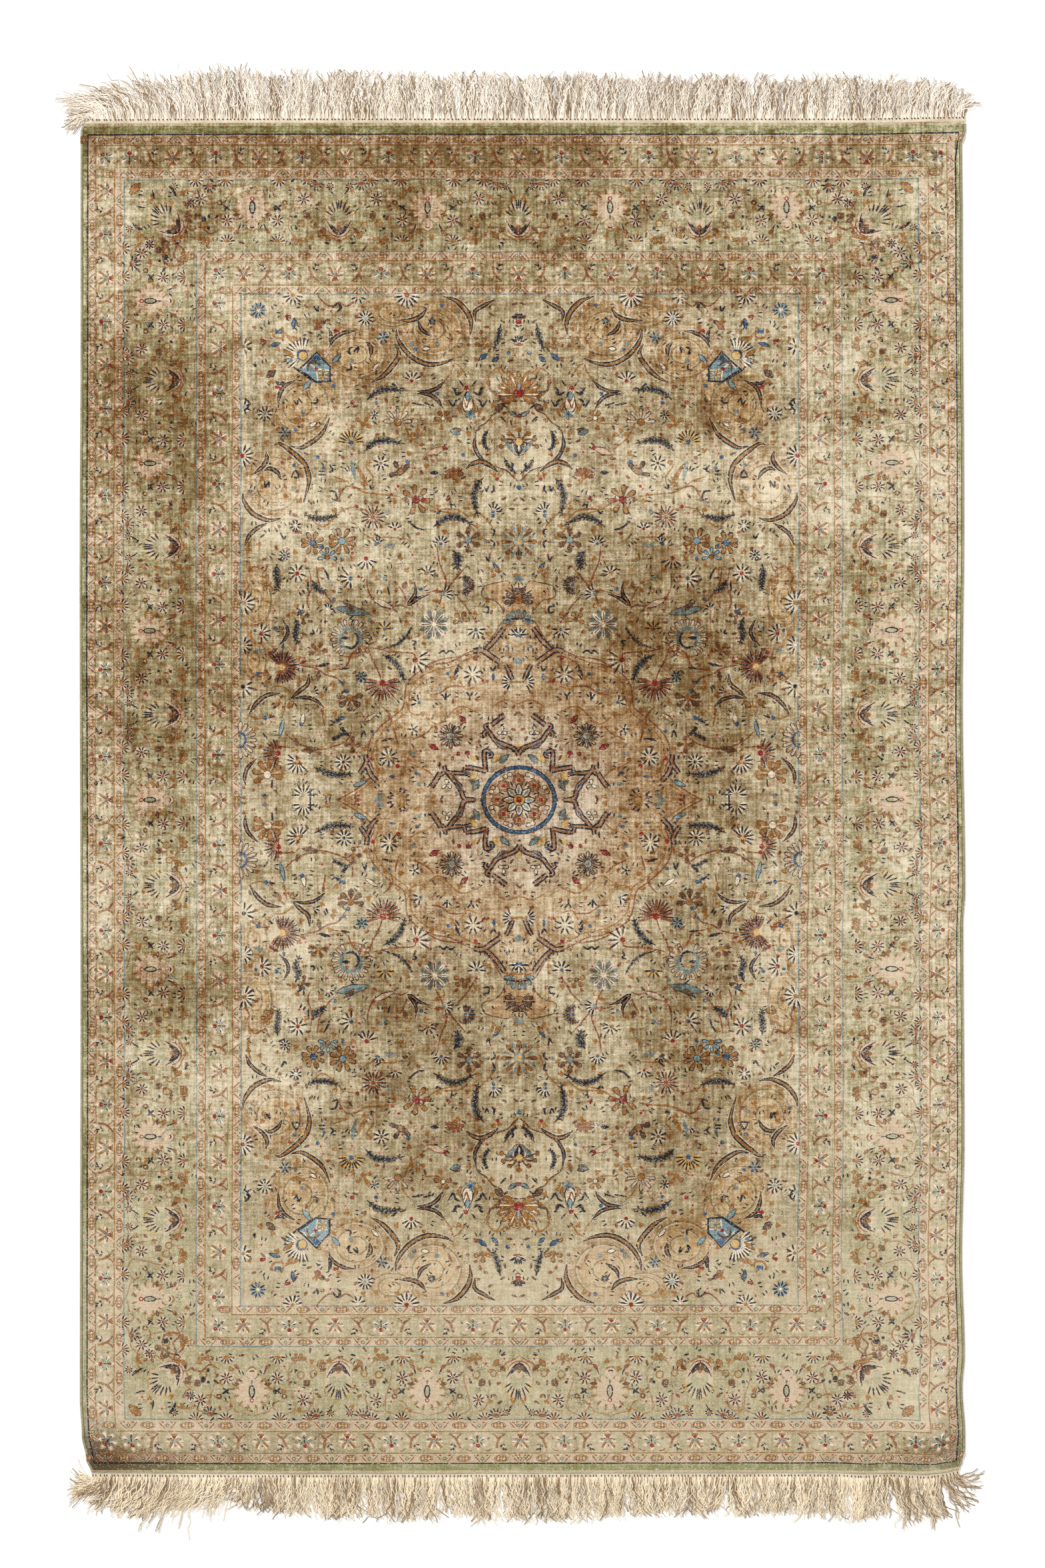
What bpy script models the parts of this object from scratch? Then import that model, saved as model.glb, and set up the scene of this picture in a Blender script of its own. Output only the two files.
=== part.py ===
"""Hand-knotted persian silk rug lying flat on the floor.

Five pieces, all in metres with +Z up and the floor at z = 0: the knotted pile body, an overcast
selvedge cord along each side, and at each end a flat-woven kilim strip with its warp fringe.
+Y points to the rug's upper end, and the origin is the middle of the body's underside.
"""

import math
import random

import bmesh
import bpy
from mathutils import Vector

# Whole rug inside its fringe
RUG_WIDTH = 1.324
RUG_LENGTH = 2.024
PILE_THICKNESS = 0.004
GAP = 0.0003

# Side cords
SELVEDGE_WIDTH = 0.0040
SELVEDGE_HEIGHT = 0.0044
SELVEDGE_ROUND = 0.0010
SIDE_STEPS = 44
END_STEPS = 40

# Kilim strips and the locks of fringe that grow out of them
STRIP_WIDTH = 0.007
STRIP_THICKNESS = 0.0018
LOCKS_AT_AN_END = 130
LOCK_ROOT_SHARE = 0.52
LOCK_TIP_SHARE = 0.62
LOCK_SECTIONS = 4
LOCK_TIP_THICKNESS = 0.0012
LOCK_RAGGED = 0.09
LOCK_WAVE = 0.0009
LOCK_WAVE_PITCH = 0.085
# How far each strip's outer corners are cut back, left and right
TOP_CORNER_CUT = (0.014, 0.000)
BOTTOM_CORNER_CUT = (0.002, 0.000)

# How far each side bulges past its nominal line: (place along y, outward offset)
LEFT_EDGE = (
    (-1.012, -0.0160),
    (-0.994, -0.0090),
    (-0.957, -0.0020),
    (-0.900, 0.0010),
    (-0.300, 0.0000),
    (0.350, 0.0015),
    (0.700, 0.0000),
    (1.000, 0.0000),
    (1.012, -0.0040),
)
RIGHT_EDGE = (
    (-1.012, -0.0060),
    (-1.000, -0.0010),
    (-0.980, 0.0030),
    (-0.960, 0.0030),
    (-0.890, -0.0012),
    (-0.840, 0.0022),
    (-0.690, -0.0020),
    (-0.520, 0.0016),
    (-0.190, 0.0000),
    (-0.143, 0.0030),
    (0.140, -0.0010),
    (0.400, 0.0012),
    (0.860, -0.0010),
    (0.978, -0.0020),
    (1.000, 0.0040),
    (1.012, 0.0034),
)
# How far each end bulges past its nominal line: (place along x, outward offset)
TOP_EDGE = (
    (-0.662, -0.0010),
    (-0.400, 0.0000),
    (0.480, 0.0000),
    (0.662, 0.0024),
)
BOTTOM_EDGE = (
    (-0.662, -0.0012),
    (-0.400, 0.0000),
    (0.475, -0.0012),
    (0.515, 0.0008),
    (0.553, -0.0010),
    (0.610, 0.0020),
    (0.638, -0.0010),
    (0.662, -0.0060),
)

# The fringe at the upper end: (root x, tip's shift along x, tip's reach outwards, straight run at the root)
TOP_FRINGE = (
    (-0.644, -0.046, -0.008, 0.012),
    (-0.634, -0.062, 0.010, 0.026),
    (-0.624, -0.062, 0.024, 0.034),
    (-0.604, -0.056, 0.040, 0.040),
    (-0.582, -0.047, 0.051, 0.040),
    (-0.548, -0.035, 0.057, 0.036),
    (-0.500, -0.018, 0.070, 0.036),
    (-0.440, -0.007, 0.077, 0.036),
    (-0.300, 0.002, 0.070, 0.034),
    (-0.100, -0.003, 0.069, 0.034),
    (0.150, 0.003, 0.067, 0.034),
    (0.520, 0.004, 0.066, 0.034),
    (0.610, 0.007, 0.063, 0.034),
    (0.640, 0.013, 0.053, 0.028),
    (0.655, 0.016, 0.036, 0.018),
)
# The fringe at the lower end, with the same columns
BOTTOM_FRINGE = (
    (-0.644, -0.034, 0.002, 0.009),
    (-0.634, -0.040, 0.020, 0.016),
    (-0.624, -0.036, 0.036, 0.022),
    (-0.612, -0.030, 0.050, 0.028),
    (-0.594, -0.028, 0.060, 0.030),
    (-0.560, -0.038, 0.062, 0.028),
    (-0.480, -0.036, 0.056, 0.026),
    (-0.450, -0.030, 0.044, 0.022),
    (-0.434, -0.022, 0.034, 0.020),
    (-0.420, -0.008, 0.048, 0.024),
    (-0.400, 0.000, 0.054, 0.028),
    (-0.300, 0.002, 0.060, 0.030),
    (0.000, 0.002, 0.067, 0.032),
    (0.320, -0.002, 0.056, 0.030),
    (0.430, 0.004, 0.061, 0.030),
    (0.560, 0.010, 0.068, 0.030),
    (0.620, 0.018, 0.064, 0.028),
    (0.636, 0.032, 0.054, 0.024),
    (0.646, 0.040, 0.032, 0.018),
    (0.654, 0.038, 0.010, 0.010),
)

# Colours: (red, green, blue), linear
PILE_COLOR = (0.300, 0.240, 0.140)
SELVEDGE_COLOR = (0.230, 0.215, 0.090)
FRINGE_COLOR = (0.700, 0.590, 0.450)


def smooth_row(table, place):
    """The row of a table at a place along its first column, eased between its rows."""
    if place <= table[0][0]:
        return table[0][1:]
    for low, high in zip(table, table[1:]):
        if place <= high[0]:
            share = (place - low[0]) / (high[0] - low[0])
            share = share * share * (3.0 - 2.0 * share)
            return tuple(a + (b - a) * share for a, b in zip(low[1:], high[1:]))
    return table[-1][1:]


def rug_point(across, along):
    """The point of the rug's outline at shares of its width and length, each from 0 to 1."""
    x = RUG_WIDTH * (across - 0.5)
    y = RUG_LENGTH * (along - 0.5)
    left = -RUG_WIDTH / 2 - smooth_row(LEFT_EDGE, y)[0]
    right = RUG_WIDTH / 2 + smooth_row(RIGHT_EDGE, y)[0]
    bottom = -RUG_LENGTH / 2 - smooth_row(BOTTOM_EDGE, x)[0]
    top = RUG_LENGTH / 2 + smooth_row(TOP_EDGE, x)[0]
    return Vector((left + (right - left) * across, bottom + (top - bottom) * along))


def end_line(along):
    """Points along one end of the rug, from left to right."""
    return [rug_point(step / END_STEPS, along) for step in range(END_STEPS + 1)]


def height_on(line, x):
    """The y of a line of points at an x, straight between its points."""
    for low, high in zip(line, line[1:]):
        if x <= high.x:
            break
    return low.lerp(high, (x - low.x) / (high.x - low.x)).y


def fabric(name, color, roughness):
    """A plain cloth material."""
    material = bpy.data.materials.new(name)
    material.use_nodes = True
    shader = material.node_tree.nodes["Principled BSDF"]
    shader.inputs["Base Color"].default_value = (*color, 1.0)
    shader.inputs["Roughness"].default_value = roughness
    shader.inputs["Metallic"].default_value = 0.0
    material.diffuse_color = (*color, 1.0)
    return material


def flat_piece(name, outline, thickness, rounding, material, collection):
    """A flat closed outline made solid, lying on the floor."""
    curve = bpy.data.curves.new(name, "CURVE")
    curve.dimensions = "2D"
    curve.fill_mode = "BOTH"
    curve.extrude = thickness / 2 - rounding
    curve.bevel_depth = rounding
    curve.bevel_resolution = 0
    curve.offset = -rounding
    spline = curve.splines.new("POLY")
    spline.points.add(len(outline) - 1)
    for point, place in zip(spline.points, outline):
        point.co = (place.x, place.y, 0.0, 1.0)
    spline.use_cyclic_u = True
    curve.materials.append(material)
    piece = bpy.data.objects.new(name, curve)
    piece.location = (0.0, 0.0, thickness / 2)
    collection.objects.link(piece)
    return piece


def side_line(across, inset):
    """Points up one side of the rug, moved in from its edge by a distance."""
    towards_middle = 1.0 if across == 0.0 else -1.0
    steps = [rug_point(across, step / SIDE_STEPS) for step in range(SIDE_STEPS + 1)]
    return [Vector((point.x + towards_middle * inset, point.y)) for point in steps]


def make_body(collection):
    """The knotted pile body, between the two side cords."""
    inset = SELVEDGE_WIDTH + GAP
    left = side_line(0.0, inset)
    right = side_line(1.0, inset)
    outline = left + end_line(1.0)[1:-1] + right[::-1] + end_line(0.0)[-2:0:-1]
    material = fabric("silk_pile", PILE_COLOR, 0.7)
    return flat_piece("rug_body", outline, PILE_THICKNESS, 0.0, material, collection)


def make_selvedge(name, across, material, collection):
    """One overcast side cord, following the rug's edge."""
    outer = side_line(across, 0.0)
    inner = side_line(across, SELVEDGE_WIDTH)
    outline = outer + inner[::-1]
    if across == 0.0:
        outline.reverse()
    return flat_piece(name, outline, SELVEDGE_HEIGHT, SELVEDGE_ROUND, material, collection)


def lock_path(root, outwards, shift, reach, run, cut, wave):
    """Centre points and sideways directions of a lock that leaves the strip straight and then leans."""
    start = root
    bend = root + Vector((0.0, outwards * run))
    tip = root + Vector((shift, outwards * reach))
    steps = []
    for step in range(1, LOCK_SECTIONS + 1):
        share = cut * step / LOCK_SECTIONS
        place = start.lerp(bend, share).lerp(bend.lerp(tip, share), share)
        tangent = (bend.lerp(tip, share) - start.lerp(bend, share)).normalized()
        across = Vector((tangent.y, -tangent.x))
        steps.append((place + across * wave * math.sin(math.pi * 1.5 * share), across))
    return steps


def grow_lock(mesh, face, place, across, root_width, path):
    """Extrude one four-sided lock from a face of the strip, level on the floor."""
    for step, (next_place, next_across) in enumerate(path, start=1):
        share = step / LOCK_SECTIONS
        half_width = root_width * (1.0 + (LOCK_TIP_SHARE - 1.0) * share) / 2
        height = STRIP_THICKNESS + (LOCK_TIP_THICKNESS - STRIP_THICKNESS) * share
        face = bmesh.ops.extrude_discrete_faces(mesh, faces=[face])["faces"][0]
        for vert in face.verts:
            side = 1.0 if (vert.co.xy - place).dot(across) > 0.0 else -1.0
            spot = next_place + next_across * side * half_width
            vert.co = (spot.x, spot.y, height if vert.co.z > 0.0 else 0.0)
        place, across = next_place, next_across


def make_fringe(name, along, corner_cut, fringe, material, collection):
    """A kilim strip on the floor with its locks of fringe, as one closed body."""
    outwards = 1.0 if along == 1.0 else -1.0
    cells = 2 * LOCKS_AT_AN_END + 1
    root_width = RUG_WIDTH / LOCKS_AT_AN_END * LOCK_ROOT_SHARE
    chance = random.Random(11 if along == 1.0 else 12)

    # A grid of one row of cells: every second cell carries a lock, the others part the locks
    mesh = bmesh.new()
    bmesh.ops.create_grid(mesh, x_segments=cells, y_segments=1, size=0.5)
    rug_end = end_line(along)
    edges = rug_end[0].x, rug_end[-1].x
    pitch = (edges[1] - edges[0] - corner_cut[0] - corner_cut[1]) / LOCKS_AT_AN_END
    first = edges[0] + corner_cut[0] + (pitch - root_width) / 2
    for vert in mesh.verts:
        line = round((vert.co.x + 0.5) * cells)
        is_outer = (vert.co.y > 0.0) == (outwards > 0.0)
        x = first + (line - 1) // 2 * pitch + ((line - 1) % 2) * root_width
        if line == 0:
            x = edges[0] + (corner_cut[0] if is_outer else 0.0)
        if line == cells:
            x = edges[1] - (corner_cut[1] if is_outer else 0.0)
        clear = GAP + (STRIP_WIDTH if is_outer else 0.0)
        vert.co = (x, height_on(rug_end, x) + outwards * clear, 0.0)
    top = bmesh.ops.extrude_face_region(mesh, geom=mesh.faces[:])["geom"]
    raised = [item for item in top if isinstance(item, bmesh.types.BMVert)]
    bmesh.ops.translate(mesh, verts=raised, vec=(0.0, 0.0, STRIP_THICKNESS))
    bmesh.ops.recalc_face_normals(mesh, faces=mesh.faces[:])

    # Each second outer face grows a lock
    roots = []
    for face in mesh.faces:
        across = [vert.co.x for vert in face.verts]
        is_front = outwards * face.normal.y > 0.9
        if is_front and abs(max(across) - min(across) - root_width) < root_width * 0.05:
            roots.append(face)
    roots.sort(key=lambda face: face.calc_center_median().x)
    for face in roots:
        root = face.calc_center_median().xy
        shift, reach, run = smooth_row(fringe, root.x)
        cut = 1.0 - chance.uniform(0.0, LOCK_RAGGED)
        wave = LOCK_WAVE * math.sin(2.0 * math.pi * root.x / LOCK_WAVE_PITCH)
        path = lock_path(root, outwards, shift, reach, run, cut, wave)
        grow_lock(mesh, face, root, Vector((outwards, 0.0)), root_width, path)
    bmesh.ops.recalc_face_normals(mesh, faces=mesh.faces[:])

    data = bpy.data.meshes.new(name)
    mesh.to_mesh(data)
    mesh.free()
    data.materials.append(material)
    piece = bpy.data.objects.new(name, data)
    collection.objects.link(piece)
    return piece


def clear_scene():
    """Remove every object and collection of the open file."""
    for item in list(bpy.data.objects):
        bpy.data.objects.remove(item, do_unlink=True)
    for group in list(bpy.data.collections):
        bpy.data.collections.remove(group)


def main():
    clear_scene()
    collection = bpy.data.collections.new("persian_rug")
    bpy.context.scene.collection.children.link(collection)
    make_body(collection)
    overcast = fabric("overcast_silk", SELVEDGE_COLOR, 0.75)
    make_selvedge("selvedge_left", 0.0, overcast, collection)
    make_selvedge("selvedge_right", 1.0, overcast, collection)
    warp = fabric("warp_fringe", FRINGE_COLOR, 0.85)
    make_fringe("fringe_top", 1.0, TOP_CORNER_CUT, TOP_FRINGE, warp, collection)
    make_fringe("fringe_bottom", 0.0, BOTTOM_CORNER_CUT, BOTTOM_FRINGE, warp, collection)


if __name__ == "__main__":
    main()
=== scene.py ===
"""Looks of a hand-knotted persian silk rug lying on a pale floor.

The rug's drawing is built in millimetres from the middle of its medallion, +y up the rug, and is then
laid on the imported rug's outline. Each yarn colour is one piece of thin flat patches over the pile.
"""

import math
import random
from collections import namedtuple

import bmesh
import bpy
import numpy as np
from mathutils import Matrix, Vector


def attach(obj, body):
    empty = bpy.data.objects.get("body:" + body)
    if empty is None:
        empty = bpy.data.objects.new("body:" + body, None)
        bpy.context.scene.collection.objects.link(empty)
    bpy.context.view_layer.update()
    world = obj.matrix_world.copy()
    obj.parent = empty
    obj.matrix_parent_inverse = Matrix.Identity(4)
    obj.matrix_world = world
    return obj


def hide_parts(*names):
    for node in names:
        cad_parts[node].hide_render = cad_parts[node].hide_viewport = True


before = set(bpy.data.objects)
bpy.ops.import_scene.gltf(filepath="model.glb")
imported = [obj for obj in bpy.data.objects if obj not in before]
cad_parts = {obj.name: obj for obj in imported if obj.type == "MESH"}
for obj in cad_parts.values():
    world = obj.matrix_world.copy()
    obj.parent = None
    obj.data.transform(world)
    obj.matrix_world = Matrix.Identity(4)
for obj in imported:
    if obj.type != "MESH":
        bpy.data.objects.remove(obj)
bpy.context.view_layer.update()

bl_info = {
    "name": "Persian Silk Rug",
    "version": (1, 0, 0),
    "blender": (4, 5, 0),
    "location": "3D View > Sidebar > Rug",
    "description": "Dresses a packed rug with its knotted design, side cords, strips and fringe",
    "category": "Object",
}

# The rug inside its fringe, in metres
RUG_WIDTH = 1.324
RUG_LENGTH = 2.024
PILE_TOP = 0.0040
CORD_WIDTH = 0.0040
CORD_HEIGHT = 0.0044
GAP = 0.0003
STRIP_WIDTH = 0.007
STRIP_THICKNESS = 0.0018
LAYER = 0.00008

# How far each side bulges past its nominal line: (place along y, outward offset)
LEFT_EDGE = (
    (-1.012, -0.0160),
    (-0.994, -0.0090),
    (-0.957, -0.0020),
    (-0.900, 0.0010),
    (-0.300, 0.0000),
    (0.350, 0.0015),
    (0.700, 0.0000),
    (1.000, 0.0000),
    (1.012, -0.0040),
)
RIGHT_EDGE = (
    (-1.012, -0.0060),
    (-1.000, -0.0010),
    (-0.980, 0.0030),
    (-0.960, 0.0030),
    (-0.890, -0.0012),
    (-0.840, 0.0022),
    (-0.690, -0.0020),
    (-0.520, 0.0016),
    (-0.190, 0.0000),
    (-0.143, 0.0030),
    (0.140, -0.0010),
    (0.400, 0.0012),
    (0.860, -0.0010),
    (0.978, -0.0020),
    (1.000, 0.0040),
    (1.012, 0.0034),
)
# How far each end bulges past its nominal line: (place along x, outward offset)
TOP_EDGE = (
    (-0.662, -0.0010),
    (-0.400, 0.0000),
    (0.480, 0.0000),
    (0.662, 0.0024),
)
BOTTOM_EDGE = (
    (-0.662, -0.0012),
    (-0.400, 0.0000),
    (0.475, -0.0012),
    (0.515, 0.0008),
    (0.553, -0.0010),
    (0.610, 0.0020),
    (0.638, -0.0010),
    (0.662, -0.0060),
)
# The fringe at the upper end: (root x, tip's shift along x, tip's reach outwards, straight run at the root)
TOP_FRINGE = (
    (-0.644, -0.046, -0.008, 0.012),
    (-0.634, -0.062, 0.010, 0.026),
    (-0.624, -0.062, 0.024, 0.034),
    (-0.604, -0.056, 0.040, 0.040),
    (-0.582, -0.047, 0.051, 0.040),
    (-0.548, -0.035, 0.057, 0.036),
    (-0.500, -0.018, 0.070, 0.036),
    (-0.440, -0.007, 0.077, 0.036),
    (-0.300, 0.002, 0.070, 0.034),
    (-0.100, -0.003, 0.069, 0.034),
    (0.150, 0.003, 0.067, 0.034),
    (0.520, 0.004, 0.066, 0.034),
    (0.610, 0.007, 0.063, 0.034),
    (0.640, 0.013, 0.053, 0.028),
    (0.655, 0.016, 0.036, 0.018),
)
# The fringe at the lower end, with the same columns
BOTTOM_FRINGE = (
    (-0.644, -0.034, 0.002, 0.009),
    (-0.634, -0.040, 0.020, 0.016),
    (-0.624, -0.036, 0.036, 0.022),
    (-0.612, -0.030, 0.050, 0.028),
    (-0.594, -0.028, 0.060, 0.030),
    (-0.560, -0.038, 0.062, 0.028),
    (-0.480, -0.036, 0.056, 0.026),
    (-0.450, -0.030, 0.044, 0.022),
    (-0.434, -0.022, 0.034, 0.020),
    (-0.420, -0.008, 0.048, 0.024),
    (-0.400, 0.000, 0.054, 0.028),
    (-0.300, 0.002, 0.060, 0.030),
    (0.000, 0.002, 0.067, 0.032),
    (0.320, -0.002, 0.056, 0.030),
    (0.430, 0.004, 0.061, 0.030),
    (0.560, 0.010, 0.068, 0.030),
    (0.620, 0.018, 0.064, 0.028),
    (0.636, 0.032, 0.054, 0.024),
    (0.646, 0.040, 0.032, 0.018),
    (0.654, 0.038, 0.010, 0.010),
)
# What differs between the ends: along is 1 at the upper end, outwards is its way along y, corner_cut
# is how far the left and right corners stand in, hole is the half width and half length of a hole's
# dark patch of painted shadow, stain is its x, reach, share and the share everywhere, depth is how
# dark the painted shade on the lowest strands is, and the rest sets the strands' look
End = namedtuple("End", "label node along outwards corner_cut fringe hole stain lean curl depth seed")
ENDS = (
    End(
        label="upper",
        node="fringe_top",
        along=1.0,
        outwards=1.0,
        corner_cut=(0.014, 0.000),
        fringe=TOP_FRINGE,
        hole=(0.0012, 0.0012),
        stain=(-0.668, 0.022, 1.3, 0.0),
        lean=0.0060,
        curl=0.0080,
        depth=1.05,
        seed=21,
    ),
    End(
        label="lower",
        node="fringe_bottom",
        along=0.0,
        outwards=-1.0,
        corner_cut=(0.002, 0.000),
        fringe=BOTTOM_FRINGE,
        hole=(0.0007, 0.0020),
        stain=(0.66, 0.08, 0.4, 0.04),
        lean=0.0085,
        curl=0.0100,
        depth=0.9,
        seed=22,
    ),
)

# Where the drawing's lines fall on the woven rug, in millimetres from its middle: (drawn, woven)
ACROSS_FIT = (
    (-657.5, -662.0),
    (-645.5, -650.0),
    (-590.5, -595.0),
    (-483.5, -488.0),
    (-415.5, -420.0),
    (0.0, -4.5),
    (415.5, 414.0),
    (483.5, 481.0),
    (590.5, 595.0),
    (645.5, 651.0),
    (657.5, 662.0),
)
ALONG_FIT = (
    (-1015.0, -1012.0),
    (-997.0, -997.0),
    (-929.0, -931.0),
    (-823.0, -823.0),
    (-758.0, -761.0),
    (0.0, -3.0),
    (758.0, 755.0),
    (823.0, 820.0),
    (929.0, 926.0),
    (997.0, 994.0),
    (1015.0, 1012.0),
)

# Bands of ground from the edge to the field: (half width, half length, red, green, blue)
BANDS = (
    (660.0, 1017.0, 136, 134, 86),
    (645.5, 997.0, 182, 160, 128),
    (634.5, 982.0, 158, 145, 106),
    (605.5, 948.0, 182, 160, 128),
    (591.0, 929.5, 158, 147, 108),
    (483.0, 822.0, 182, 160, 128),
    (470.5, 809.0, 158, 145, 106),
    (429.5, 771.5, 182, 160, 128),
    (416.0, 758.0, 168, 152, 116),
)

GROUND_CELL = 11.0
ROUND_RIM = (156, 121, 74)
ROUND_MIDDLE = (188, 157, 110)
MEDALLION_BODY = (174, 146, 107)
MEDALLION_MIDDLE = (196, 178, 152)

# Yarns of the design: (name, red, green, blue, share of the fading towards cream by painted sheen and wear)
YARNS = (
    ("tan", 178, 144, 102, 0.80),
    ("pink", 198, 173, 144, 0.50),
    ("halo", 188, 172, 138, 0.75),
    ("sage", 160, 154, 118, 0.70),
    ("cream", 224, 208, 182, 0.50),
    ("gold", 150, 100, 42, 0.30),
    ("rust", 130, 72, 36, 0.34),
    ("brown", 96, 64, 40, 0.30),
    ("red", 140, 30, 24, 0.15),
    ("yellow", 204, 164, 92, 0.35),
    ("navy", 30, 33, 46, 0.16),
    ("blue", 46, 84, 116, 0.25),
    ("sky", 118, 148, 156, 0.35),
    ("teal", 104, 124, 124, 0.55),
    ("slate", 84, 94, 94, 0.30),
    ("moss", 126, 108, 70, 0.60),
    ("clay", 158, 114, 80, 0.34),
)

# Grey water stains at the lower corners: (x, y, reach across, reach along, share), in millimetres
STAIN_TINT = (92, 80, 66)
STAINS = (
    (-640, -980, 34, 60, 0.85),
    (-600, -1000, 120, 24, 0.55),
    (-430, -985, 150, 28, 0.28),
    (-320, -960, 26, 40, 0.22),
    (628, -975, 34, 36, 0.60),
    (560, -1000, 120, 14, 0.30),
)

# Lighter patches of painted sheen and wear, darker patches of painted shade on the pile: (x, y, reach
# across, reach along, amount), in millimetres
SHEEN_AND_WEAR_PATCHES = (
    (520, 450, 75, 560, -0.03),
    (-560, 975, 220, 34, -0.15),
    (-240, 985, 240, 30, -0.12),
    (60, 975, 190, 36, -0.13),
    (330, 985, 140, 26, 0.02),
    (-470, 900, 90, 40, 0.10),
    (-600, 860, 40, 60, 0.14),
    (-20, 890, 190, 90, -0.16),
    (-180, 900, 60, 40, -0.12),
    (590, 880, 90, 90, 0.12),
    (350, 960, 120, 40, 0.05),
    (-440, 820, 120, 40, 0.02),
    (-560, 770, 90, 34, 0.05),
    (-420, 745, 130, 46, 0.14),
    (-620, 640, 60, 90, -0.15),
    (-530, 620, 90, 100, -0.16),
    (-340, 640, 130, 60, 0.06),
    (0, 680, 160, 40, 0.02),
    (300, 600, 90, 70, -0.10),
    (430, 690, 60, 80, 0.12),
    (560, 560, 110, 130, 0.12),
    (-560, 500, 90, 50, -0.04),
    (-330, 480, 130, 60, 0.16),
    (40, 480, 170, 44, 0.14),
    (330, 470, 160, 60, 0.20),
    (560, 430, 120, 120, 0.16),
    (-610, 390, 50, 50, 0.08),
    (-400, 390, 110, 60, 0.12),
    (-230, 360, 80, 46, 0.10),
    (250, 370, 120, 60, -0.10),
    (-560, 240, 90, 120, -0.14),
    (-330, 250, 150, 60, -0.04),
    (180, 230, 140, 120, -0.26),
    (330, 180, 80, 110, -0.12),
    (-120, 200, 130, 70, 0.12),
    (560, 200, 130, 260, 0.10),
    (-610, 60, 60, 70, -0.04),
    (-60, 20, 160, 90, -0.10),
    (240, 0, 70, 110, -0.16),
    (-380, -20, 110, 50, 0.08),
    (-560, -120, 120, 90, 0.10),
    (-300, -170, 130, 60, 0.12),
    (-60, -210, 140, 60, 0.04),
    (100, -230, 90, 80, 0.06),
    (-560, -290, 130, 60, -0.18),
    (-180, -300, 110, 60, -0.16),
    (-80, -420, 140, 110, -0.12),
    (240, -330, 60, 200, -0.16),
    (90, -460, 70, 70, -0.02),
    (-430, -420, 130, 120, 0.10),
    (540, -420, 150, 250, 0.14),
    (230, -560, 70, 90, -0.10),
    (-60, -560, 120, 60, -0.06),
    (0, -700, 420, 60, 0.10),
    (-560, -640, 110, 90, 0.06),
    (0, -800, 640, 90, 0.12),
    (0, -930, 640, 60, 0.06),
    (-630, -990, 40, 38, -0.30),
    (-560, -1000, 70, 18, -0.18),
    (596, -972, 52, 20, -0.24),
    (648, -950, 12, 60, -0.10),
    (520, 960, 60, 34, -0.10),
    (-140, 672, 130, 50, -0.13),
    (-50, 575, 220, 46, -0.10),
    (-470, 480, 80, 46, -0.13),
    (-150, 470, 150, 40, -0.08),
    (518, 430, 46, 210, -0.11),
    (470, 768, 80, 36, -0.07),
    (-470, 864, 80, 42, -0.12),
    (-260, 200, 90, 120, -0.08),
    (-450, 190, 100, 120, -0.05),
    (-628, 710, 30, 80, 0.09),
    (-628, 140, 30, 180, 0.07),
    (-628, -280, 34, 120, 0.10),
    (-628, -840, 34, 150, 0.11),
    (632, -500, 44, 480, 0.09),
    (0, -968, 640, 30, 0.08),
    (600, -930, 60, 60, 0.10),
    (410, 190, 80, 50, 0.08),
    (400, -100, 110, 60, -0.02),
    (-410, -190, 70, 40, 0.08),
    (-425, 960, 70, 30, -0.12),
    (-519, 860, 50, 30, -0.08),
    (235, 768, 50, 40, -0.10),
    (-519, 384, 50, 50, -0.10),
    (0, -40, 80, 90, -0.06),
    (-142, -192, 50, 50, -0.11),
    (-519, -288, 60, 50, -0.11),
    (-236, 280, 60, 50, -0.08),
    (420, 576, 150, 50, -0.08),
    (424, -192, 60, 60, 0.10),
    (235, -96, 40, 60, 0.11),
    (540, -96, 90, 60, 0.12),
    (-330, -288, 60, 60, 0.11),
    (-425, -440, 60, 90, 0.09),
    (110, -480, 90, 110, 0.12),
    (235, 96, 50, 60, 0.08),
    (-330, -672, 60, 50, 0.09),
    (560, -900, 80, 70, 0.09),
    (-560, -960, 100, 40, 0.10),
    (-500, 960, 120, 30, -0.09),
    (440, 960, 90, 30, -0.08),
    (-519, 870, 40, 30, -0.08),
    (-236, 870, 50, 30, -0.08),
    (-142, 868, 30, 30, 0.08),
    (141, 864, 40, 30, 0.08),
    (518, 864, 40, 30, -0.11),
    (-236, 768, 50, 30, -0.09),
    (-520, 520, 120, 70, -0.07),
    (-560, 96, 100, 90, -0.08),
    (-236, 130, 60, 90, -0.08),
    (-560, -20, 90, 70, -0.05),
    (329, 288, 50, 50, 0.09),
    (518, 330, 50, 60, -0.07),
    (-519, -384, 60, 40, 0.07),
    (-236, -384, 50, 50, -0.09),
    (235, -384, 50, 40, -0.12),
    (560, -480, 90, 60, 0.06),
    (580, -720, 60, 120, 0.06),
    (-613, 50, 40, 60, 0.09),
    (-613, -288, 40, 50, 0.07),
    (-425, 288, 50, 50, -0.07),
    (-330, -96, 60, 40, -0.09),
    (-142, 120, 40, 60, 0.08),
    (-30, -96, 50, 40, 0.04),
    (-10, 0, 60, 40, -0.06),
    (235, 288, 40, 40, -0.09),
    (329, -384, 40, 40, 0.09),
    (-425, -576, 50, 40, -0.08),
    (-40, -672, 70, 30, -0.08),
    (235, -768, 50, 40, -0.09),
    (-320, -960, 140, 40, -0.07),
    (518, 690, 60, 60, 0.07),
    (380, 768, 130, 40, -0.06),
    (-519, 672, 50, 40, -0.09),
    (-100, 480, 160, 40, -0.07),
    (-236, -480, 50, 50, -0.07),
    (-142, -480, 40, 40, 0.08),
)

# How uneven the pile looks up the rug: (y, share)
UNREST = (
    (-1.01, 0.36),
    (-0.72, 0.42),
    (-0.50, 0.90),
    (0.20, 1.00),
    (1.01, 1.05),
)


def srgb(red, green, blue):
    """A screen colour of 0 to 255 as linear light."""
    return tuple(((part / 255 + 0.055) / 1.055) ** 2.4 for part in (red, green, blue))


# Outline of the rug


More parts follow.
